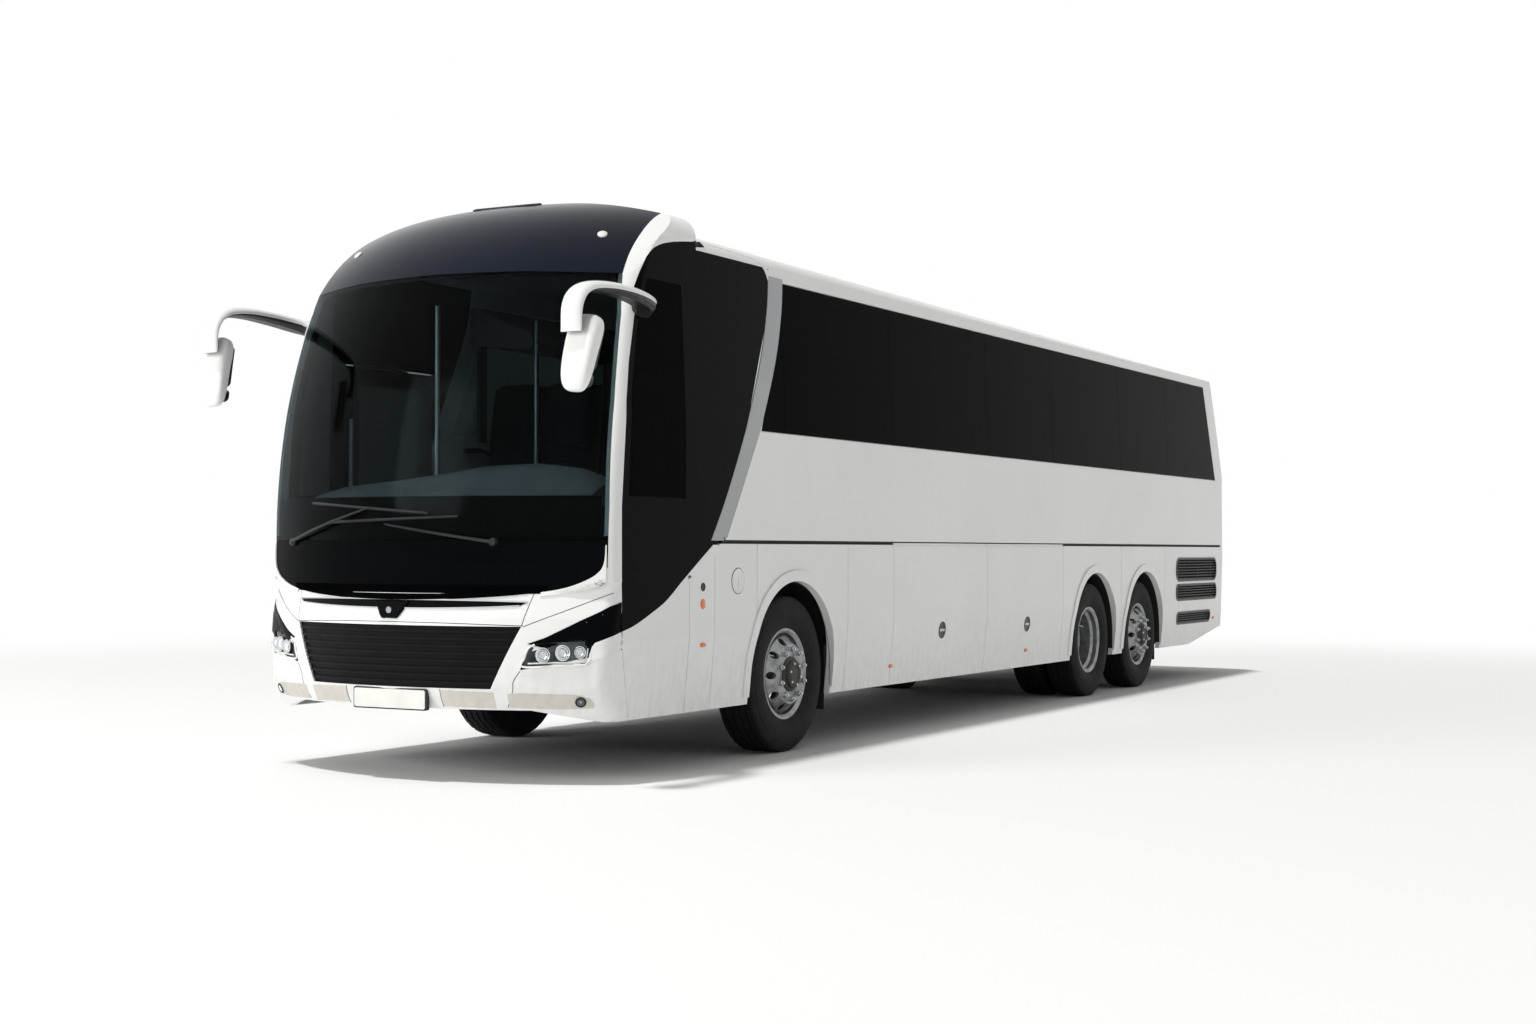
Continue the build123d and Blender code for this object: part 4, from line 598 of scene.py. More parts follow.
# --- White body panels -------------------------------------------------------------------
# Galvanised steel sides and moulded glass-fibre ends, bonded to a steel cage, and sprayed white
# under clear lacquer after they are joined.
ROAD_FILM, FILM_TOP, FILM_FULL = "7A756A", 0.95, 0.35     # colour, heights
BELT_Z = 1.404          # the rubber hinge line


def painted(name, colour, shade, dirt=0.0, rough=0.2, **inputs):
    """Lacquered paint: 6 mm orange peel and a tone that changes a little in 900 mm clouds.

    Dirt is how much road film, in 50 mm spots, lies on it from the sills up.
    """
    mat, shader = new_material(name, colour, Roughness=rough, **inputs)
    place = add(mat, "TexCoord", "Object")
    clouds = add(mat, "TexNoise", Vector=place, Scale=1 / (900 * MM), Detail=3.0)
    clouds = add(mat, "MapRange", i0=clouds, i1=0.35, i2=0.65)
    tone = add(mat, "Mix", 2, COLOUR, i0=clouds, i6=srgb(colour), i7=srgb(shade))
    if dirt:
        low = add(mat, "SeparateXYZ", 2, Vector=place)
        low = add(mat, "MapRange", i0=low, i1=FILM_TOP, i2=FILM_FULL)
        spots = add(mat, "Mapping", i3=(1, 1, 0.5), Vector=place)
        spots = add(mat, "TexNoise", Vector=spots, Scale=1 / (50 * MM), Detail=6.0)
        spots = add(mat, "MapRange", i0=spots, i1=0.42, i2=0.75)
        film = add(mat, "Math", 0, TIMES, i0=low, i1=spots)
        film = add(mat, "Math", 0, TIMES, i0=film, i1=dirt)
        tone = add(mat, "Mix", 2, COLOUR, i0=film, i6=tone, i7=srgb(ROAD_FILM))
        wire(shader, Roughness=add(mat, "MapRange", i0=film, i3=rough, i4=0.75))
    peel = add(mat, "TexNoise", Vector=place, Scale=1 / (6 * MM), Detail=2.0)
    wire(shader, Base_Color=tone, Normal=add(mat, "Bump", Height=peel, Distance=0.01 * MM))
    return mat


# Sprayed white enamel: an even gloss that dulls to grey-brown film along the skirts.
WHITE = painted("white_paint", "EEEFED", "EAEBE9", dirt=0.16, Specular_IOR_Level=0.3)
# The same enamel higher up and on mouldings, where no film reaches.
WHITE_CLEAN = painted("white_moulding", "EFF0EE", "EAEBE9", rough=0.25, Specular_IOR_Level=0.3)
dress(WHITE, "bumpers", "front_mask", "rear_wall", "engine_lid", "waist_panels", "swept_strips",
      "skirts", "mid_door", *nodes_like("luggage_flap"))
dress(WHITE_CLEAN, "pillar_arch", "roof", "roof_cooler", "mirrors")


# --- Glazing -----------------------------------------------------------------------------
# A laminated windscreen and toughened tinted panes are glued to the frame from outside.  The
# screen's foot is printed black to hide the glue, and dark posts stand behind the side joints.
def glass(name, colour, ior):
    """Float glass: clear and mirror-smooth, with a ripple 350 mm across from its bending.

    Its index is set below real glass, so that one pane's skins don't bend what is behind.
    """
    mat, shader = new_material(name, colour, Roughness=0.0, Transmission_Weight=1.0, IOR=ior)
    place = add(mat, "TexCoord", "Object")
    ripple = add(mat, "TexNoise", Vector=place, Scale=1 / (350 * MM), Detail=1.0)
    wire(shader, Normal=add(mat, "Bump", Height=ripple, Distance=0.2 * MM))
    return mat


SCREEN = glass("windscreen_glass", "8F9C9F", 1.10)
TINTED = glass("tinted_glass", "202624", 1.05)
# Black ceramic print and lacquer: deep black with a low, tight gloss.
GLOSS_BLACK = painted("gloss_black", "060708", "08090B", rough=0.12, Specular_IOR_Level=0.06)
dress(SCREEN, "windscreen")
dress(TINTED, "windows", "front_door_glass", "mid_door_glass")
dress(PLASTIC, "window_posts")
BAND_ROWS = [(1.205, 1.425), (1.205, 1.50), (1.206, 1.58), (1.206, 1.665)]  # half width, height
BAND_COLS, BAND_DEPTH = 48, 0.0165
verts, n = [], BAND_COLS + 1
for half, z in BAND_ROWS:
    for k in range(n):
        verts.append(front(half * (2 * k / BAND_COLS - 1), z, -BAND_DEPTH))
make("screen_band", verts, [(r * n + k, r * n + k + 1, r * n + n + k + 1, r * n + n + k)
                            for r in range(len(BAND_ROWS) - 1) for k in range(BAND_COLS)],
     GLOSS_BLACK, slot="black_panel")


# --- Dark panels, rails and grilles ------------------------------------------------------
# The lid below the screen and the cab's sides are painted black to look like one pane, and the
# roof dome deep blue.  Rubber hinge rails and moulded louvres are pushed into the white panels.

# Black enamel: almost no reflection, as deep as the glass beside it.
BLACK_PANEL = painted("black_paint", "050607", "07080A", rough=0.12, Specular_IOR_Level=0.02)
# Blue-black enamel: only a soft sheen tells it from the black.
DOME_BLUE = painted("dome_paint", "0D121B", "101622", rough=0.2, Specular_IOR_Level=0.1)
# Matt moulded plastic of the louvres: black with a weak sheen on each slat's edge.
GRILLE = moulded("grille_plastic", "0B0B0C", "0F0F10", 0.5, Specular_IOR_Level=0.15)
dress(BLACK_PANEL, "front_lid", "cab_sides")
dress(DOME_BLUE, "dome")
dress(GRILLE, "front_grille")
dress(PLASTIC, "side_grilles")
dress(RUBBER, "belt_rails")
dress(GLOSS_BLACK, "headlamp_bezels")


# --- Front door --------------------------------------------------------------------------
# One bonded leaf of aluminium and glass on a swing arm, masked and sprayed in two colours so
# that the cab's black zone and its sloping edge run on across it.
SWEEP_SLOPE, SWEEP_LEVEL = -0.60, 4.405     # edge: z = level + slope x, and no higher than the belt


def door_paint():
    """Masked enamel: black above the sweep of the cab side, white below it."""
    mat, shader = new_material("door_paint", "050607", Roughness=0.15, Specular_IOR_Level=0.1)
    place = add(mat, "TexCoord", "Object")
    edge = add(mat, "Math", 0, {"operation": "MULTIPLY_ADD"}, i1=SWEEP_SLOPE, i2=SWEEP_LEVEL,
               i0=add(mat, "SeparateXYZ", 0, Vector=place))
    edge = add(mat, "Math", 0, {"operation": "MINIMUM"}, i0=edge, i1=BELT_Z)
    below = add(mat, "Math", 0, {"operation": "LESS_THAN"}, i1=edge,
                i0=add(mat, "SeparateXYZ", 2, Vector=place))
    peel = add(mat, "TexNoise", Vector=place, Scale=1 / (6 * MM), Detail=2.0)
    wire(shader, Base_Color=add(mat, "Mix", 2, COLOUR, i0=below, i6=srgb("050607"),
                                i7=srgb("EEEFED")),
         Normal=add(mat, "Bump", Height=peel, Distance=0.01 * MM))
    return mat


dress(door_paint(), "front_door")


# --- Foot of the black lid ---------------------------------------------------------------
# The lid ends in one long curve over a soft rubber seal, and the white pillars' feet turn in
# below its lower corners.  Both are thin skins, laid on the panels under them.
def drape(points, aim, lift, step=0.03, base=-0.004, keep=None, cuts=()):
    """Closed skin inside an outline, seen along aim, from base to lift off the body.

    keep(x, z) says which parts stay, with clean edges along the (axis, value) cuts.
    """
    aim = Vector(aim).normalized()
    u = aim.cross(Vector((0, 0, 1))).normalized()
    v = u.cross(aim)

    def depth(a, b):
        hit = SKIN.ray_cast(u * a + v * b - aim * 9, aim)
        return hit[3] if hit[0] else None

    def level(a, b):
        """Distance to the skin, bridging the narrow gaps between panels."""
        here = depth(a, b)
        for reach in (0.009, 0.02, 0.04, 0.09):
            near = []
            for da, db in ((reach, 0), (0, reach)):
                pair = depth(a - da, b - db), depth(a + da, b + db)
                if all(pair):
                    near.append(sum(pair) / 2)
            if near:
                return here if here and here < min(near) + 0.002 else min(near)
        return here or depth(a, b + 0.012) or depth(a, b - 0.012)

    bm = bmesh.new()
    flat = [(Vector(p).dot(u), Vector(p).dot(v)) for p in points]
    bm.faces.new([bm.verts.new((a, b, 0)) for a, b in flat])
    bmesh.ops.triangulate(bm, faces=bm.faces[:])
    lines = list(cuts)
    for axis in (0, 1):
        low, high = min(p[axis] for p in flat), max(p[axis] for p in flat)
        lines += [(axis, low + k * step) for k in range(1, int((high - low) / step) + 1)]
    for axis, value in lines:
        spot, normal = [0, 0, 0], [0, 0, 0]
        spot[axis], normal[axis] = value, 1
        bmesh.ops.bisect_plane(bm, geom=bm.verts[:] + bm.edges[:] + bm.faces[:],
                               plane_co=spot, plane_no=normal)
    if keep:
        gone = [f for f in bm.faces if not keep(*(u * f.calc_center_median().x
                                                  + v * f.calc_center_median().y).xz)]
        bmesh.ops.delete(bm, geom=gone, context="FACES")
    bm.verts.index_update()
    top, foot, d = [], [], 0.006
    for vert in bm.verts:
        a, b = vert.co.x, vert.co.y
        here = level(a, b)
        around = [level(a + d, b), level(a - d, b), level(a, b + d), level(a, b - d)]
        if here is None or None in around:
            raise ValueError(f"no skin at {u * a + v * b}")
        out = (u * (around[0] - around[1]) / (2 * d) + v * (around[2] - around[3]) / (2 * d)
               - aim).normalized()
        spot = u * a + v * b + aim * (here - 9)
        top.append(spot + out * lift)
        foot.append(spot + out * base)
    n = len(top)
    faces = [[w.index for w in f.verts] for f in bm.faces]
    faces += [[n + i for i in reversed(f)] for f in faces]
    for edge in bm.edges:
        if len(edge.link_faces) == 1:
            i, j = (w.index for w in edge.verts)
            faces.append([i, j, n + j, n + i])
    bm.free()
    return top + foot, faces


def yz(points):
    return [(0.0, y, z) for y, z in points]


def xz(points):
    return [(x, 0.0, z) for x, z in points]


AHEAD, ASIDE = (-1, 0, 0), (0, -1, 0)
# Foamed rubber seal: dead black, with no gloss at all.
LID_SEAL = moulded("lid_seal", "050506", "070708", 0.95, Specular_IOR_Level=0.0)
# Half of each curve, from the middle or the seal to the side: y, z.
LID_CURVE = [(0.0, 1.057), (0.30, 1.062), (0.60, 1.078), (0.80, 1.095), (0.93, 1.111)]
LID_TOP_Z = 1.145
FOOT_IN = [(0.90, 1.106), (1.021, 1.132), (1.10, 1.160), (1.161, 1.192), (1.203, 1.228),
           (1.222, 1.265), (1.229, 1.31), (1.231, 1.38)]
FOOT_OUT = [(1.236, 1.38), (1.2375, 1.25), (1.235, 1.182), (1.195, 1.140), (1.095, 1.108),
            (0.90, 1.084)]
foot = smooth_path(yz([(-y, z) for y, z in reversed(LID_CURVE[1:])] + LID_CURVE), 6)
chin = Part().grow(*drape(foot + yz([(0.93, LID_TOP_Z), (-0.93, LID_TOP_Z)]), AHEAD, 0.0090))
chin.done("lid_chin", LID_SEAL, slot="black_panel")
feet = Part().grow(*drape(smooth_path(yz(FOOT_IN), 6) + yz(FOOT_OUT), AHEAD, 0.0085, 0.012))
feet.done("pillar_feet", WHITE_CLEAN, slot="white_paint", mirror=True)


# --- Swept strips ------------------------------------------------------------------------
# A pale grey painted moulding sweeps in one curve from the roof to the belt line behind each
# cab window, bedded on black rubber.  On the right its foot opens with the front door.

# Silver-grey lacquer: a plain satin that neither shines nor sparkles.
GREY_STRIP = painted("grey_strip", "A9ABAC", "9FA1A3", rough=0.35)
STRIP_BACK = [(4.050, 3.150), (4.068, 3.00), (4.100, 2.86), (4.160, 2.67), (4.250, 2.468),
              (4.400, 2.190), (4.560, 1.930), (4.722, 1.670), (4.885, 1.412)]
STRIP_NOSE = [(4.246, 3.150), (4.266, 3.00), (4.300, 2.86), (4.360, 2.67), (4.460, 2.440),
              (4.628, 2.120), (4.774, 1.860), (4.912, 1.635), (5.070, 1.412)]
RUBBER_EDGE = 0.006
DOOR_X, DOOR_TOP, DOOR_GAP = (4.620, 5.560), 2.560, 0.008
DOOR_CUTS = [(0, -DOOR_X[0]), (0, -DOOR_X[0] + DOOR_GAP), (0, -DOOR_X[1]),
             (0, -DOOR_X[1] - DOOR_GAP), (1, DOOR_TOP), (1, DOOR_TOP + DOOR_GAP)]


def on_door(x, z):
    return DOOR_X[0] < x < DOOR_X[1] and z < DOOR_TOP


def off_door(x, z):
    return not (DOOR_X[0] - DOOR_GAP < x < DOOR_X[1] + DOOR_GAP and z < DOOR_TOP + DOOR_GAP)


def both_sides(name, outline, lift, mat, slot):
    """Skin on both sides, where the part over the front door moves with the door."""
    body, door = Part(), Part()
    body.grow(*drape(outline, ASIDE, lift))
    for part, keep in ((body, off_door), (door, on_door)):
        verts, faces = drape(outline, ASIDE, lift, keep=keep, cuts=DOOR_CUTS)
        part.grow([Vector((v.x, -v.y, v.z)) for v in verts], faces)
    body.done(name, mat, slot=slot)
    door.done(f"{name}_door", mat, body="front_door", slot=slot)


back, nose = smooth_path(xz(STRIP_BACK), 6), smooth_path(xz(STRIP_NOSE), 6)
edge = Vector((RUBBER_EDGE, 0, 0))
both_sides("strip_rubber", [p - edge for p in back] + [p + edge for p in reversed(nose)], 0.0010,
           RUBBER, "black_plastic")
both_sides("strip_skin", back + nose[::-1], 0.0030, GREY_STRIP, "grey_strip")


# --- Paint edges over the front wheel ----------------------------------------------------
# The black zone is masked along a long curve that falls from the belt to the headlamp, whose
# black surround rises round the nose's corner to meet it, with white below.
SWEEP = [(6.104, 0.880), (5.990, 0.906), (5.891, 0.937), (5.757, 0.987), (5.632, 1.037),
         (5.539, 1.089), (5.446, 1.148), (5.327, 1.219), (5.206, 1.291), (5.085, 1.362),
         (5.045, 1.385)]
SWEEP_FOOT = [(4.980, 1.385), (4.980, 1.335), (5.040, 1.315), (5.103, 1.285), (5.291, 1.185),
              (5.563, 1.045), (5.847, 0.912), (6.104, 0.780)]
SURROUND_TOP = [(0.862, 0.815), (0.953, 0.850), (1.124, 0.947), (1.213, 0.998), (1.25, 1.028)]
SURROUND_FOOT = [(1.255, 0.850), (1.200, 0.822), (1.130, 0.800), (0.95, 0.785)]
CHEEK = [(1.172, 0.728), (1.186, 0.80), (1.200, 0.822), (1.255, 0.850)]
CORNER_X = 6.106        # where the nose's corner meets the side
ROUND_CORNER = (-0.72, -0.69, 0)


def on_nose(points):
    return [front(y, z) for y, z in points]


outline = smooth_path(xz(SWEEP), 6) + xz(SWEEP_FOOT)
fender = Part().grow(*drape(outline, ASIDE, 0.0015))
verts, faces = drape(outline, ASIDE, 0.0015, keep=off_door, cuts=DOOR_CUTS)
fender.grow([Vector((v.x, -v.y, v.z)) for v in verts], faces)
fender.done("fender_paint", WHITE, slot="white_paint")

tail_top, tail_foot = Vector((CORNER_X, 1.275, 1.052)), Vector((CORNER_X, 1.272, 0.880))
surround = Part().grow(*drape(on_nose(SURROUND_TOP) + [tail_top, tail_foot]
                              + on_nose(SURROUND_FOOT), ROUND_CORNER, 0.0030, 0.015))
surround.done("lamp_surround", BLACK_PANEL, slot="black_panel", mirror=True)
cheek = Part().grow(*drape(on_nose(CHEEK) + [tail_foot, Vector((CORNER_X, 1.270, 0.770)),
                                             front(1.20, 0.722)], ROUND_CORNER, 0.0030, 0.02))
cheek.done("cheek_paint", WHITE, slot="white_paint", mirror=True)


# --- Paint edges at the roof -------------------------------------------------------------
# White shoulders arch over the cab's side glass and run back into the cant rail.  Paint and
# black print meet in round corners there, each a skin as thin as its film and filler.
ARCH = [(5.925, 2.820), (5.897, 2.884), (5.831, 2.998), (5.751, 3.100), (5.647, 3.165),
        (5.451, 3.215), (5.107, 3.261)]
RAIL = [(5.160, 3.262), (5.107, 3.261), (4.901, 3.257), (4.693, 3.250), (4.533, 3.247),
        (4.421, 3.240), (4.349, 3.215), (4.285, 3.170), (4.250, 3.115)]
SHOULDER = (-0.05, -0.90, -0.43)    # the slope of the shoulder faces this way


def on_side(points, dx=0.0, dz=0.0):
    """Points on the left side of the body, from a line moved by dx and dz."""
    return [seen_on((p.x + dx, 3, p.z + dz), (0, -1, 0))[0] for p in points]


# Piece, line, how far its other edge lies along X and Z, finish, slot.
for name, line, dx, dz, skin, slot in (
        ("arch_edge_paint", ARCH, 0.030, 0.022, WHITE_CLEAN, "white_paint"),
        ("arch_edge_glass", ARCH, -0.035, -0.030, BLACK_PANEL, "black_panel"),
        ("rail_edge_paint", RAIL, -0.012, 0.055, WHITE_CLEAN, "white_paint")):
    line = smooth_path(xz(line), 6)
    piece = Part().grow(*drape(on_side(line) + on_side(line, dx, dz)[::-1], SHOULDER, 0.0022,
                               0.02))
    piece.done(name, skin, slot=slot, mirror=True)


# --- Trim strip and camera pod -----------------------------------------------------------
# A gloss black moulding with two plated lips clips across the mask above the grille.  A small
# pod at its middle carries a camera.

# Chromium-plated plastic: a bright, almost perfect mirror.
CHROME, _ = new_material("chrome", "D8DADC", Metallic=1.0, Roughness=0.08)
STRIP_TOP = [(0, 1.061), (0.3, 1.060), (0.6, 1.057), (0.84, 1.052)]
STRIP_FOOT = [(0, 1.010), (0.3, 1.012), (0.6, 1.020), (0.80, 1.030)]
POD = [(0.125, 1.050), (0.105, 1.022), (0.070, 0.968), (0.052, 0.950)]
CAMERA = [(0, 0), (0, 0.019), (0.010, 0.019), (0.012, 0.013), (0.008, 0.009), (0.010, 0)]


def across(half):
    """Whole line from left to right out of its left half."""
    return [(-y, z) for y, z in reversed(half) if y] + half


def seam(part, points, aim, half=0.0018, lift=0.0009):
    """Narrow line of width 2 half along 3-D points, draped on the skin."""
    line = smooth_path(points)
    aim = Vector(aim).normalized()
    left, right = [], []
    for k, p in enumerate(line):
        along = line[min(k + 1, len(line) - 1)] - line[max(k - 1, 0)]
        sideways = along.cross(aim).normalized()
        left.append(p + sideways * half)
        right.append(p - sideways * half)
    return part.grow(*drape(left + right[::-1], aim, lift, 0.05))


top, foot = yz(across(STRIP_TOP)), yz(across(STRIP_FOOT)[::-1])
strip = Part().grow(*drape(smooth_path(top, 6) + smooth_path(foot, 6), AHEAD, 0.004, 0.04))
strip.done("trim_strip", GLOSS_BLACK, slot="black_plastic")
lips = Part()
for line, half in ((top, 0.0042), (foot, 0.0022)):
    seam(lips, line, AHEAD, half, 0.0085)
lips.done("chrome_strip", CHROME)
outline = [(-y, z) for y, z in POD[:1]] + POD + [(-y, z) for y, z in reversed(POD[1:])]
pod = Part().loft([[front(y * s, 1.0 + (z - 1.0) * s, lift) for y, z in outline]
                   for s, lift in ((1, -0.01), (1, 0.012), (0.9, 0.018))])
pod.done("camera_pod", GLOSS_BLACK, slot="black_plastic")
camera_lens = Part().turned(front(0, 0.995, 0.014), (1, 0, 0), CAMERA, 24)
camera_lens.done("camera_lens", BRIGHT)


# --- Mask joints, bumper inserts and painted recess shade --------------------------------
# The mask, corners and bumper are separate glass-fibre mouldings that meet in narrow rubbered
# joints.  Grey-beige skins lie in the bumper's recesses. Their tone is partly the cream inserts'
# own colour and partly painted shade of the recesses.

# Unpainted cream plastic with spots of road film. Its flat grey-beige tone is partly painted
# shade of the recesses.
INSERT_TONE_AND_SHADE = painted("bumper_insert_and_shade", "D3CFC6", "C9C4BA", dirt=0.2, rough=0.4)
MASK_JOINTS = ([(0.866, 1.100), (0.860, 1.079), (0.826, 0.917)],
               [(0.831, 0.911), (1.018, 0.992), (1.199, 1.077), (1.255, 1.105)],
               [(0.823, 0.660), (0.785, 0.600), (0.775, 0.539), (0.730, 0.446)],
               [(0.345, 0.560), (0.345, 0.440)],
               [(0.0, 0.931), (0.4, 0.928), (0.83, 0.917)])
INSERT_AND_SHADE_OUTLINES = ([(0.350, 0.542), (0.668, 0.535), (0.665, 0.440), (0.350, 0.447)],
           [(0.745, 0.527), (0.815, 0.533), (1.098, 0.525), (1.168, 0.503), (1.182, 0.470),
            (1.170, 0.446), (0.996, 0.440), (0.740, 0.446)])
joints, insert_shade_part = Part(), Part()
for line in MASK_JOINTS:
    seam(joints, yz(line), AHEAD)
joints.done("mask_joints", RUBBER, slot="black_plastic", mirror=True)
# Skins of the inserts' own tone and the recesses' painted shade.
for outline in INSERT_AND_SHADE_OUTLINES:
    insert_shade_part.grow(*drape(yz(outline), AHEAD, 0.002))
insert_shade_part.done("insert_and_shade_skins", INSERT_TONE_AND_SHADE, slot="white_paint", mirror=True)


# --- Fog lamps and number plate ----------------------------------------------------------
# Round fog lamps sit in the bumper's corners behind plastic rims, and a pressed plate, left
# blank, is screwed on a holder at the bumper's middle.

# Moulded clear polycarbonate: glass-like, with a bright glint on its crown.
CLEAR_LENS, _ = new_material("clear_lens", "E4E8EA", Roughness=0.05, Transmission_Weight=0.9,
                             IOR=1.45)
# Enamelled white sheet: a warm white with a soft gloss.
PLATE = moulded("plate_white", "E8E8E2", "DEDED8", 0.4)
FOG_RIM = [(-0.01, 0), (-0.01, 0.031), (0.007, 0.032), (0.010, 0.028), (0.005, 0.024), (0, 0)]
FOG_GLASS = [(0.001, 0), (0.001, 0.023), (0.008, 0.022), (0.011, 0.012), (0.012, 0)]
spot, normal = seen_on((9, 1.118, 0.483), (-1, 0, 0))
rims = Part().turned(spot, normal, FOG_RIM, 36)
rims.done("fog_lamp_rims", PLASTIC, slot="black_plastic", mirror=True)
covers = Part().turned(spot, normal, FOG_GLASS, 32)
covers.done("fog_lamp_glass", CLEAR_LENS, mirror=True)


def arc(cx, cy, r, start, end, count):
    return [(cx + r * cos(start + (end - start) * k / (count - 1)),
             cy + r * sin(start + (end - start) * k / (count - 1))) for k in range(count)]


def rounded(x0, y0, x1, y1, r, count=5):
    """Rounded rectangle outline."""
    return (arc(x1 - r, y1 - r, r, 0, pi / 2, count) + arc(x0 + r, y1 - r, r, pi / 2, pi, count)
            + arc(x0 + r, y0 + r, r, pi, pi * 1.5, count)
            + arc(x1 - r, y0 + r, r, pi * 1.5, tau, count))


plate_x = front(0, 0.50).x + 0.012
# Piece, half width, foot, head, corner radius, back and front from the plate's back, finish.
for name, half, z0, z1, r, span, skin, slot in (
        ("number_plate", 0.26, 0.427, 0.537, 0.012, (0.0, 0.004), PLATE, None),
        ("plate_holder", 0.268, 0.419, 0.545, 0.014, (-0.03, 0.0), PLASTIC, "black_plastic")):
    outline = rounded(-half, z0, half, z1, r, 4)
    sheet = Part().loft([[(plate_x + a, y, z) for y, z in outline] for a in span])
    sheet.done(name, skin, slot=slot)


# --- Headlamps ---------------------------------------------------------------------------
# Three plated bowls, a dipped projector, a high beam and a turn lamp, over a daytime light
# line, glued behind one clear cover with a white rim.  The tail lamps' covers are red.

# Vacuum-metallised backing: dark mirror grey, clouded with age.
LAMP_BOWL = moulded("lamp_reflector", "55575A", "2C2E31", 0.3, Metallic=0.9)
LENS_EDGE = [(0.838, 0.684), (0.846, 0.735), (0.866, 0.790), (0.900, 0.812), (0.980, 0.822),
             (1.077, 0.827), (1.150, 0.827), (1.176, 0.812), (1.182, 0.785), (1.177, 0.735),
             (1.165, 0.710), (1.140, 0.697), (1.00, 0.690)]
DAY_LINE = [(0.865, 0.703), (1.0, 0.709), (1.13, 0.716), (1.156, 0.735), (1.162, 0.79)]
BOWLS = (((0.945, 0.752), 0.040), ((1.045, 0.765), 0.042), ((1.128, 0.768), 0.032))
BOWL_AXIS = (0.95, 0.3, 0)


def lamp_cover():
    """Moulded polycarbonate: clear over the headlamps, deep red over the tail lamps."""
    mat, shader = new_material("lamp_cover", "EDF0F1", Roughness=0.05, IOR=1.3)
    behind = add(mat, "SeparateXYZ", 0, Vector=add(mat, "TexCoord", "Object"))
    behind = add(mat, "Math", 0, {"operation": "LESS_THAN"}, i0=behind, i1=0.0)
    wire(shader, Base_Color=add(mat, "Mix", 2, COLOUR, i0=behind, i6=srgb("EDF0F1"),
                                i7=srgb("5A0B0D")))
    wire(shader, Transmission_Weight=add(mat, "MapRange", i0=behind, i3=1.0, i4=0.35))
    return mat


def lamp(y, z, lift=0.0):
    """Point on the smooth face of the lamp, fitted to the mask round it."""
    s, t = (y - 0.82) / 0.37, (z - 0.67) / 0.19
    foot = [front(a, b).x for a, b in ((0.82, 0.655), (1.005, 0.668), (1.19, 0.70))]
    head = [front(a, b).x for a, b in ((0.84, 0.850), (1.005, 0.895), (1.19, 1.010))]
    share = (2 * (s - 0.5) * (s - 1), 4 * s * (1 - s), 2 * s * (s - 0.5))
    x = sum(w * (p * (1 - t) + q * t) for w, p, q in zip(share, foot, head))
    return Vector((x, y, z)) + Vector((0.88, 0.47, 0)) * lift


dress(lamp_cover(), "lamps")
edge = [(p.y, p.z) for p in smooth_path(yz(LENS_EDGE), 4)]
lamp_back = Part().loft([[lamp(y, z, lift) for y, z in edge] for lift in (-0.03, 0.006)])
lamp_back.done("lamp_back", LAMP_BOWL, slot="black_plastic", mirror=True)
bowls, lights = Part(), Part()
for (y, z), r in BOWLS:
    spot = lamp(y, z, 0.004)
    bowls.turned(spot, BOWL_AXIS, [(-0.01, 0), (-0.01, r), (0.014, r + 0.004), (0.017, r),
                                   (0.009, r * 0.8), (0.006, 0)], 28)
    lights.turned(spot, BOWL_AXIS, [(0.005, 0), (0.008, r * 0.70), (0.015, r * 0.5),
                                    (0.018, 0)], 24)
bowls.done("headlamp_bowls", CHROME, mirror=True)
lights.done("headlamp_lenses", CLEAR_LENS, mirror=True)
for name, line, r, skin, slot in (
        ("headlamp_rims", LENS_EDGE[7:] + LENS_EDGE[:4], 0.0060, WHITE_CLEAN, "white_paint"),
        ("daytime_lights", DAY_LINE, 0.0045, PLATE, None)):
    bar = Part().tube([lamp(p.y, p.z, 0.008) for p in smooth_path(yz(line), 5)], r, 8)
    bar.done(name, skin, slot=slot, mirror=True)


# --- Wipers ------------------------------------------------------------------------------
# Two long sprung arms on spindles below the screen park across its foot.  Each carries a rubber
# blade in a flat holder.
SPINDLE = [(-0.01, 0), (-0.01, 0.026), (0.020, 0.024), (0.030, 0.014), (0.030, 0)]
BLADE = ((0.003, -0.004), (0.012, -0.010), (0.020, -0.004), (0.014, 0.006), (0.004, 0.004))
# Arm: spindle, tip and the blade's two ends, each y, z.
WIPERS = {"left": ((0.62, 1.395), (-0.10, 1.50), (0.40, 1.545), (-0.60, 1.515)),
          "right": ((-0.98, 1.395), (-0.22, 1.60), (-0.76, 1.635), (0.20, 1.565))}


def between(start, end, steps):
    return [(start[0] + (end[0] - start[0]) * k / steps, start[1] + (end[1] - start[1]) * k / steps)
            for k in range(steps + 1)]


for tag, (pivot, tip, start, end) in WIPERS.items():
    arm = Part().turned(front(*pivot), (1, 0, 0.1), SPINDLE, 20)
    arm.tube([front(y, z, 0.022 + 0.014 * sin(pi * k / 14))
              for k, (y, z) in enumerate(between(pivot, tip, 14))],
             [0.011 - 0.006 * k / 14 for k in range(15)], 8)
    arm.loft([[front(y, z) + Vector((a, 0, b)) for a, b in BLADE]
              for y, z in between(start, end, 24)])
    arm.done(f"wiper_{tag}", PLASTIC, slot="black_plastic")


# --- Filler, switch and side lamps -------------------------------------------------------
# On the driver's side a round painted lid in a rubber ring covers the fuel filler, with a door
# switch and a reflector ahead of it.  Small amber lamps are let into both skirts.

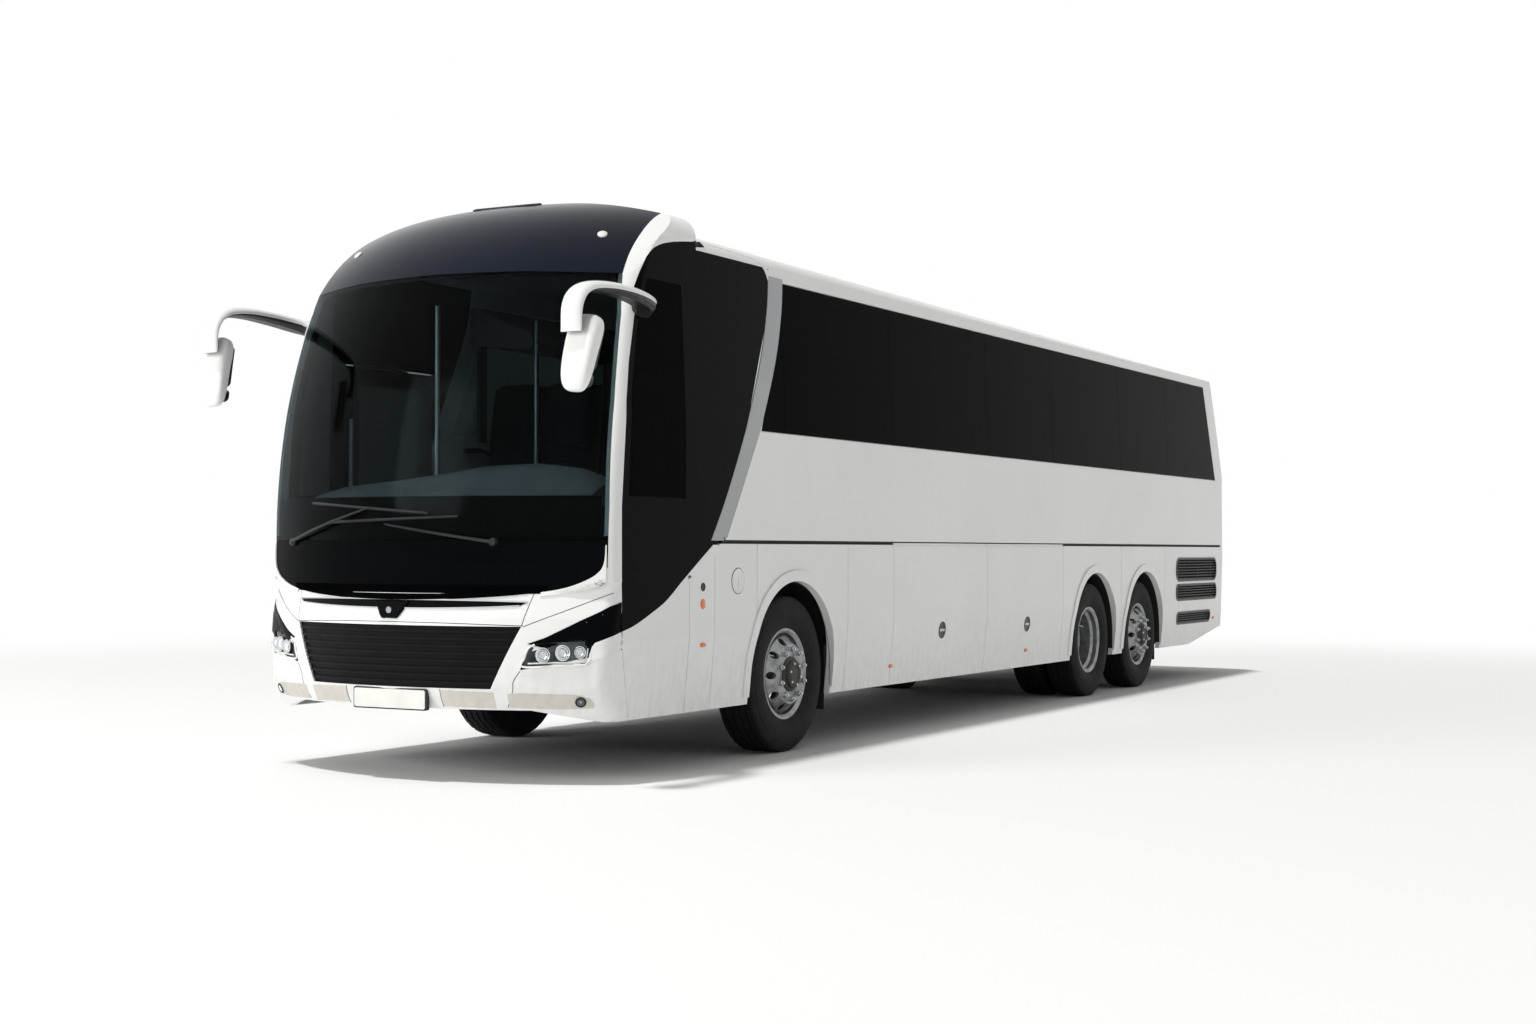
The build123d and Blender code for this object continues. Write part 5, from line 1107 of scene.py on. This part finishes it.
# Moulded amber acrylic: a strong orange with a hard gloss.
AMBER, _ = new_material("amber_lens", "E06A12", Roughness=0.12, Coat_Weight=0.6)
FILLER = (4.725, 1.272, 1.157)
FILLER_LID = [(0, 0), (0, 0.078), (0.006, 0.080), (0.008, 0.076), (0.006, 0.072), (0.009, 0)]
FILLER_RING = [(0, 0.0805), (0, 0.0845), (0.004, 0.0845), (0.0045, 0.0805)]
SWITCH = [(0, 0), (0, 0.026), (0.007, 0.027), (0.010, 0.022), (0.006, 0.018), (0.006, 0)]
REFLECTOR = [(0, 0), (0, 0.032), (0.003, 0.032), (0.005, 0.028), (0.005, 0)]
MARKERS = ((5.166, 0.768), (2.36, 0.50), (-0.40, 0.50), (-6.05, 0.62))     # x, z
# Piece, centre, profile, steps round, finish, slot.
for name, spot, profile, steps, skin, slot in (
        ("filler_disc", FILLER, FILLER_LID, 48, WHITE_CLEAN, "white_paint"),
        ("filler_seal", FILLER, FILLER_RING, 48, RUBBER, "black_plastic"),
        ("door_switch", (5.168, 1.270, 1.125), SWITCH, 32, PLASTIC, "black_plastic"),
        ("side_reflector", (5.168, 1.2735, 1.02), REFLECTOR, 28, AMBER, None)):
    Part().turned(spot, (0, 1, 0), profile, steps).done(name, skin, slot=slot)
catch = Part().box((4.717, 1.280, 1.120), (4.733, 1.285, 1.180))
catch.done("filler_catch", WHITE_CLEAN, slot="white_paint", bevel=0.002)


def side_y(z):
    """Half width of the straight body at height z."""
    if z < 0.82:
        return 1.275 - (0.82 - z) * 0.042 / 0.46
    return 1.275 - max(z - 2.12, 0) * 0.051 / 1.095


markers = Part()
for x, z in MARKERS:
    y = side_y(z)
    outline = rounded(x - 0.026, z - 0.013, x + 0.026, z + 0.013, 0.012, 4)
    markers.loft([[(a, y - 0.004, b) for a, b in outline], [(a, y + 0.007, b) for a, b in outline],
                  [(x + (a - x) * 0.9, y + 0.012, z + (b - z) * 0.8) for a, b in outline]])
markers.done("side_marker_lamps", AMBER, mirror=True)


# --- Flap handles ------------------------------------------------------------------------
# Each luggage flap has one round plastic cup with a plated grip, clamped through its skin.
CUP = [(-0.004, 0), (-0.004, 0.066), (0.003, 0.066), (0.004, 0.062), (0.0015, 0.056), (0.001, 0)]
HANDLES = ((1.448, 0.735, "luggage_flap_left_1"), (-0.380, 0.725, "luggage_flap_left_2"),
           (1.448, 0.735, "luggage_flap_right_1"), (0.070, 0.725, "luggage_flap_right_2"))
for k, (x, z, flap) in enumerate(HANDLES):
    side = 1 if "left" in flap else -1
    cup = Part().turned((x, side * side_y(z), z), (0, side, -0.09), CUP, 40)
    cup.done(f"flap_cup_{k}", PLASTIC, body=flap, slot="black_plastic")
    bar = Part().box((x - 0.044, -0.006, z - 0.010), (x + 0.044, 0.004, z + 0.010))
    bar.verts = [Vector((v.x, side * (side_y(z) + v.y), v.z)) for v in bar.verts]
    bar.done(f"flap_grip_{k}", BRIGHT, body=flap, slot="wheel_steel", bevel=0.003)


# --- Mirrors -----------------------------------------------------------------------------
# White moulded shells hang ahead of the nose on swept tubes, clad in white above and in black
# plastic below.  Each holds a large pane over a wide-angle one.

# Silvered glass: a clean mirror.
MIRROR_GLASS, _ = new_material("mirror_glass", "E8ECEE", Metallic=1.0, Roughness=0.02)
SHELL = (0.058, 0.098, 0.222)       # half depth, half width, half height
HOUSING = (Matrix.Translation((6.640, 1.345, 2.440)) @ Matrix.Rotation(radians(-15), 4, "Y")
           @ Matrix.Rotation(radians(-5), 4, "X"))
ARM = [(5.848, 1.236, 2.775), (5.935, 1.315, 2.800), (6.150, 1.345, 2.822), (6.400, 1.340, 2.826),
       (6.600, 1.330, 2.795), (6.695, 1.328, 2.705), (6.712, 1.328, 2.550)]
PANES = ((-0.085, 0.178), (-0.182, -0.105))     # foot and head of the large and the small pane


def shell_block(half, power, cuts):
    """Rounded block: a cube's grid pushed onto a superellipsoid."""
    bm = bmesh.new()
    bmesh.ops.create_cube(bm, size=2.0)
    bmesh.ops.subdivide_edges(bm, edges=bm.edges[:], cuts=cuts, use_grid_fill=True)
    for v in bm.verts:
        size = sum(abs(c) ** power for c in v.co) ** (1 / power)
        v.co = Vector(c * h / size for c, h in zip(v.co, half))
    return mesh_data(bm)


arm, dark, shell, panes, bezel = Part(), Part(), Part(), Part(), Part()
route = smooth_path(ARM, 10)
rings, under = [], []
for k, p in enumerate(route):
    t = k / (len(route) - 1)
    a, b = route[max(k - 1, 0)], route[min(k + 1, len(route) - 1)]
    along = (b - a).normalized()
    flat = Vector((-along.y, along.x, 0)).normalized() if t < 0.3 else Vector((0, 1, 0))
    flat = (flat - along * flat.dot(along)).normalized()
    over = along.cross(flat)
    over = over if over.dot(Vector((1, 0, 1))) > 0 else -over
    w, h = 0.074 - 0.006 * t, 0.034 - 0.016 * max(t - 0.8, 0) / 0.2
    rings.append([p + flat * cos(s) * w + over * (max(sin(s), -0.35) * h)
                  for s in (tau * i / 28 for i in range(28))])
    deep = 0.062 - 0.045 * min(t / 0.8, 1)
    under.append([p + flat * u * w - over * v
                  for u, v in ((0.94, 0.008), (0.90, deep * 0.6), (0.60, deep), (-0.60, deep),
                               (-0.90, deep * 0.6), (-0.94, 0.008))])
arm.loft(rings)
dark.loft(under)
verts, faces = shell_block(SHELL, 3.6, 14)
for v in verts:
    t = v.z / SHELL[2]
    v.x = v.x if v.x > 0 else v.x * 0.8
    v.x *= 1 + 0.25 * t
    v.y *= 1 + 0.06 * t
    v.x -= 0.018 * t * t
shell.grow([HOUSING @ v for v in verts], faces)
for z0, z1 in PANES:
    outline = rounded(-0.080, z0, 0.080, z1, 0.028, 6)
    bezel.loft([[HOUSING @ Vector((x, y, z)) for y, z in outline] for x in (-0.030, -0.062)])
    outline = rounded(-0.074, z0 + 0.007, 0.074, z1 - 0.007, 0.024, 6)
    panes.loft([[HOUSING @ Vector((x, y, z)) for y, z in outline] for x in (-0.055, -0.0645)])
covers = shell.done("mirror_shells", WHITE_CLEAN, slot="white_paint", mirror=True)
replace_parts(covers, "mirrors")
arm.done("mirror_arms", WHITE_CLEAN, slot="white_paint", mirror=True)
dark.done("mirror_undersides", PLASTIC, slot="black_plastic", mirror=True)
bezel.done("mirror_bezels", PLASTIC, slot="black_plastic", mirror=True)
panes.done("mirror_panes", MIRROR_GLASS, mirror=True)


# --- Roof vent and dome lamps ------------------------------------------------------------
# A flat moulded vent lid lies nearly flush in the dome, and a white position lamp is let into
# each of its front corners.
VENT_X, VENT_HALF = (5.10, 5.50), 0.26
DOME_LAMP = [(-0.004, 0), (-0.004, 0.030), (0.006, 0.030), (0.012, 0.022), (0.014, 0)]
middle = sum(VENT_X) / 2
outline = rounded(VENT_X[0], -VENT_HALF, VENT_X[1], VENT_HALF, 0.05, 5)
vent = Part().loft([[seen_on((middle + (x - middle) * s, y * s, 6), (0, 0, -1), lift)[0]
                     for x, y in outline]
                    for s, lift in ((1.0, -0.004), (1.0, 0.006), (0.95, 0.012))])
vent.done("roof_vent", PLASTIC, slot="black_plastic")
tops = Part()
for side in SIDES.values():
    tops.turned(*seen_on((9, 0.93 * side, 3.235), (-1, 0, 0)), DOME_LAMP, 24)
tops.done("dome_marker_lamps", PLATE)


# --- Tail lamps and lid catches ----------------------------------------------------------
# Five round lamps stand in a column on each red cover, and two turned catches lock the foot of
# the engine lid.

# Moulded red acrylic: deep red under a hard gloss.
RED_LENS, _ = new_material("red_lens", "8E0F12", Roughness=0.1, Coat_Weight=0.6)
TAIL_LAMP = [(-0.004, 0), (-0.004, 0.042), (0.006, 0.040), (0.010, 0.03), (0.012, 0)]
CATCH = [(-0.004, 0), (-0.004, 0.028), (0.006, 0.028), (0.008, 0.02), (0.004, 0.016), (0.004, 0)]
reds, catches = Part(), Part()
for side in SIDES.values():
    for k in range(5):
        spot = seen_on((-9, 1.150 * side, 1.53 + 0.12 * k), (1, 0, 0), 0.012)[0]
        reds.turned(spot, (-1, 0, 0), TAIL_LAMP, 24)
reds.done("rear_lamp_lenses", RED_LENS)
for y in (-0.55, 0.55):
    catches.turned(seen_on((-9, y, 0.74), (1, 0, 0))[0], (-1, 0, 0), CATCH, 24)
catches.done("engine_lid_catches", PLASTIC, body="engine_lid", slot="black_plastic")


# --- Floor and backdrop ------------------------------------------------------------------
# A pale paper floor fades into a plain white backdrop, which camera, gloss and glass rays see.
# The backdrop lights the coach only faintly.
PAPER_HALF, FADE_FROM, FADE_TO = 90, 8.5, 17.0
AMBIENT = 0.34


def seen_share(tree):
    """1 for rays that show the backdrop: from the camera, off gloss or through glass."""
    seen = add(tree, "LightPath", "Is Camera Ray")
    for kind in ("Is Glossy Ray", "Is Transmission Ray"):
        seen = add(tree, "Math", 0, {"operation": "MAXIMUM"}, i0=seen,
                   i1=add(tree, "LightPath", kind))
    return seen


# Uncoated card: a flat off-white with no gloss, which keeps the shadow.
floor_paper, paper = new_material("floor_paper", "F4F4F3", Roughness=0.95,
                                  Specular_IOR_Level=0.05)
reach = add(floor_paper, "VectorMath", "Value", {"operation": "LENGTH"},
            Vector=add(floor_paper, "NewGeometry", "Position"))
fade = add(floor_paper, "MapRange", 0, {"interpolation_type": "SMOOTHSTEP"}, i0=reach,
           i1=FADE_FROM, i2=FADE_TO)
share = add(floor_paper, "Math", 0, TIMES, i0=fade, i1=seen_share(floor_paper))
glow = add(floor_paper, "Emission", Color=srgb("FFFFFF"), Strength=1.0)
wire(floor_paper.node_tree.nodes["Material Output"],
     Surface=add(floor_paper, "MixShader", i0=share, i1=paper.outputs[0], i2=glow))
floor_mesh = bpy.data.meshes.new("studio_floor")
floor_mesh.from_pydata([(x * PAPER_HALF, y * PAPER_HALF, 0)
                        for x, y in ((-1, -1), (1, -1), (1, 1), (-1, 1))], [], [(0, 1, 2, 3)])
floor = bpy.data.objects.new("studio_floor", floor_mesh)
bpy.context.scene.collection.objects.link(floor)
floor_mesh.materials.append(floor_paper)

world = bpy.data.worlds.new("studio")
bpy.context.scene.world = world
world.use_nodes = True
light = world.node_tree.nodes["Background"]
wire(light, Color=srgb("FFFFFF"), Strength=AMBIENT)
white = add(world, "Background", Color=srgb("FFFFFF"), Strength=1.0)
wire(world.node_tree.nodes["World Output"],
     Surface=add(world, "MixShader", i0=seen_share(world), i1=light.outputs[0], i2=white))


# --- Lamps and camera --------------------------------------------------------------------
# One high key lamp, small enough for a soft-edged shadow, and one square panel ahead.  The
# camera stands at eye level ahead and to the left.


def studio_lamp(name, kind, place, aim, power, **settings):
    """Lamp at place that shines on aim."""
    data = bpy.data.lights.new(name, kind)
    data.energy = power
    for key, value in settings.items():
        setattr(data, key, value)
    obj = bpy.data.objects.new(name, data)
    bpy.context.scene.collection.objects.link(obj)
    obj.location = place
    obj.rotation_euler = (Vector(aim) - Vector(place)).to_track_quat("-Z", "Y").to_euler()
    obj.visible_glossy = False


studio_lamp("key_light", "SUN", (5, -2, 20), (0, 0, 0), 1.95, angle=0.07)
studio_lamp("front_panel", "AREA", (22, -9, 7), (5, 0, 1.6), 1900, shape="RECTANGLE", size=8,
            size_y=8)

CAMERA_PLACE, FOCAL_MM = (15.98, 7.523, 1.364), 47.556
YAW, PITCH, ROLL = 3.65267, -0.00217, 0.00298     # radians
look = Vector((cos(YAW) * cos(PITCH), sin(YAW) * cos(PITCH), sin(PITCH)))
right = look.cross(Vector((0, 0, 1))).normalized()
up = right.cross(look)
right, up = right * cos(ROLL) + up * sin(ROLL), up * cos(ROLL) - right * sin(ROLL)
camera = bpy.data.objects.new("camera", bpy.data.cameras.new("camera"))
bpy.context.scene.collection.objects.link(camera)
camera.matrix_world = Matrix.Translation(CAMERA_PLACE) @ Matrix(
    (right, up, -look)).transposed().to_4x4()
camera.data.sensor_width = 36.0
camera.data.lens = FOCAL_MM
camera.data.shift_x, camera.data.shift_y = 0.02518, 0.02648
camera.data.clip_end = 400
bpy.context.scene.camera = camera
bpy.context.scene.view_settings.view_transform = "Standard"
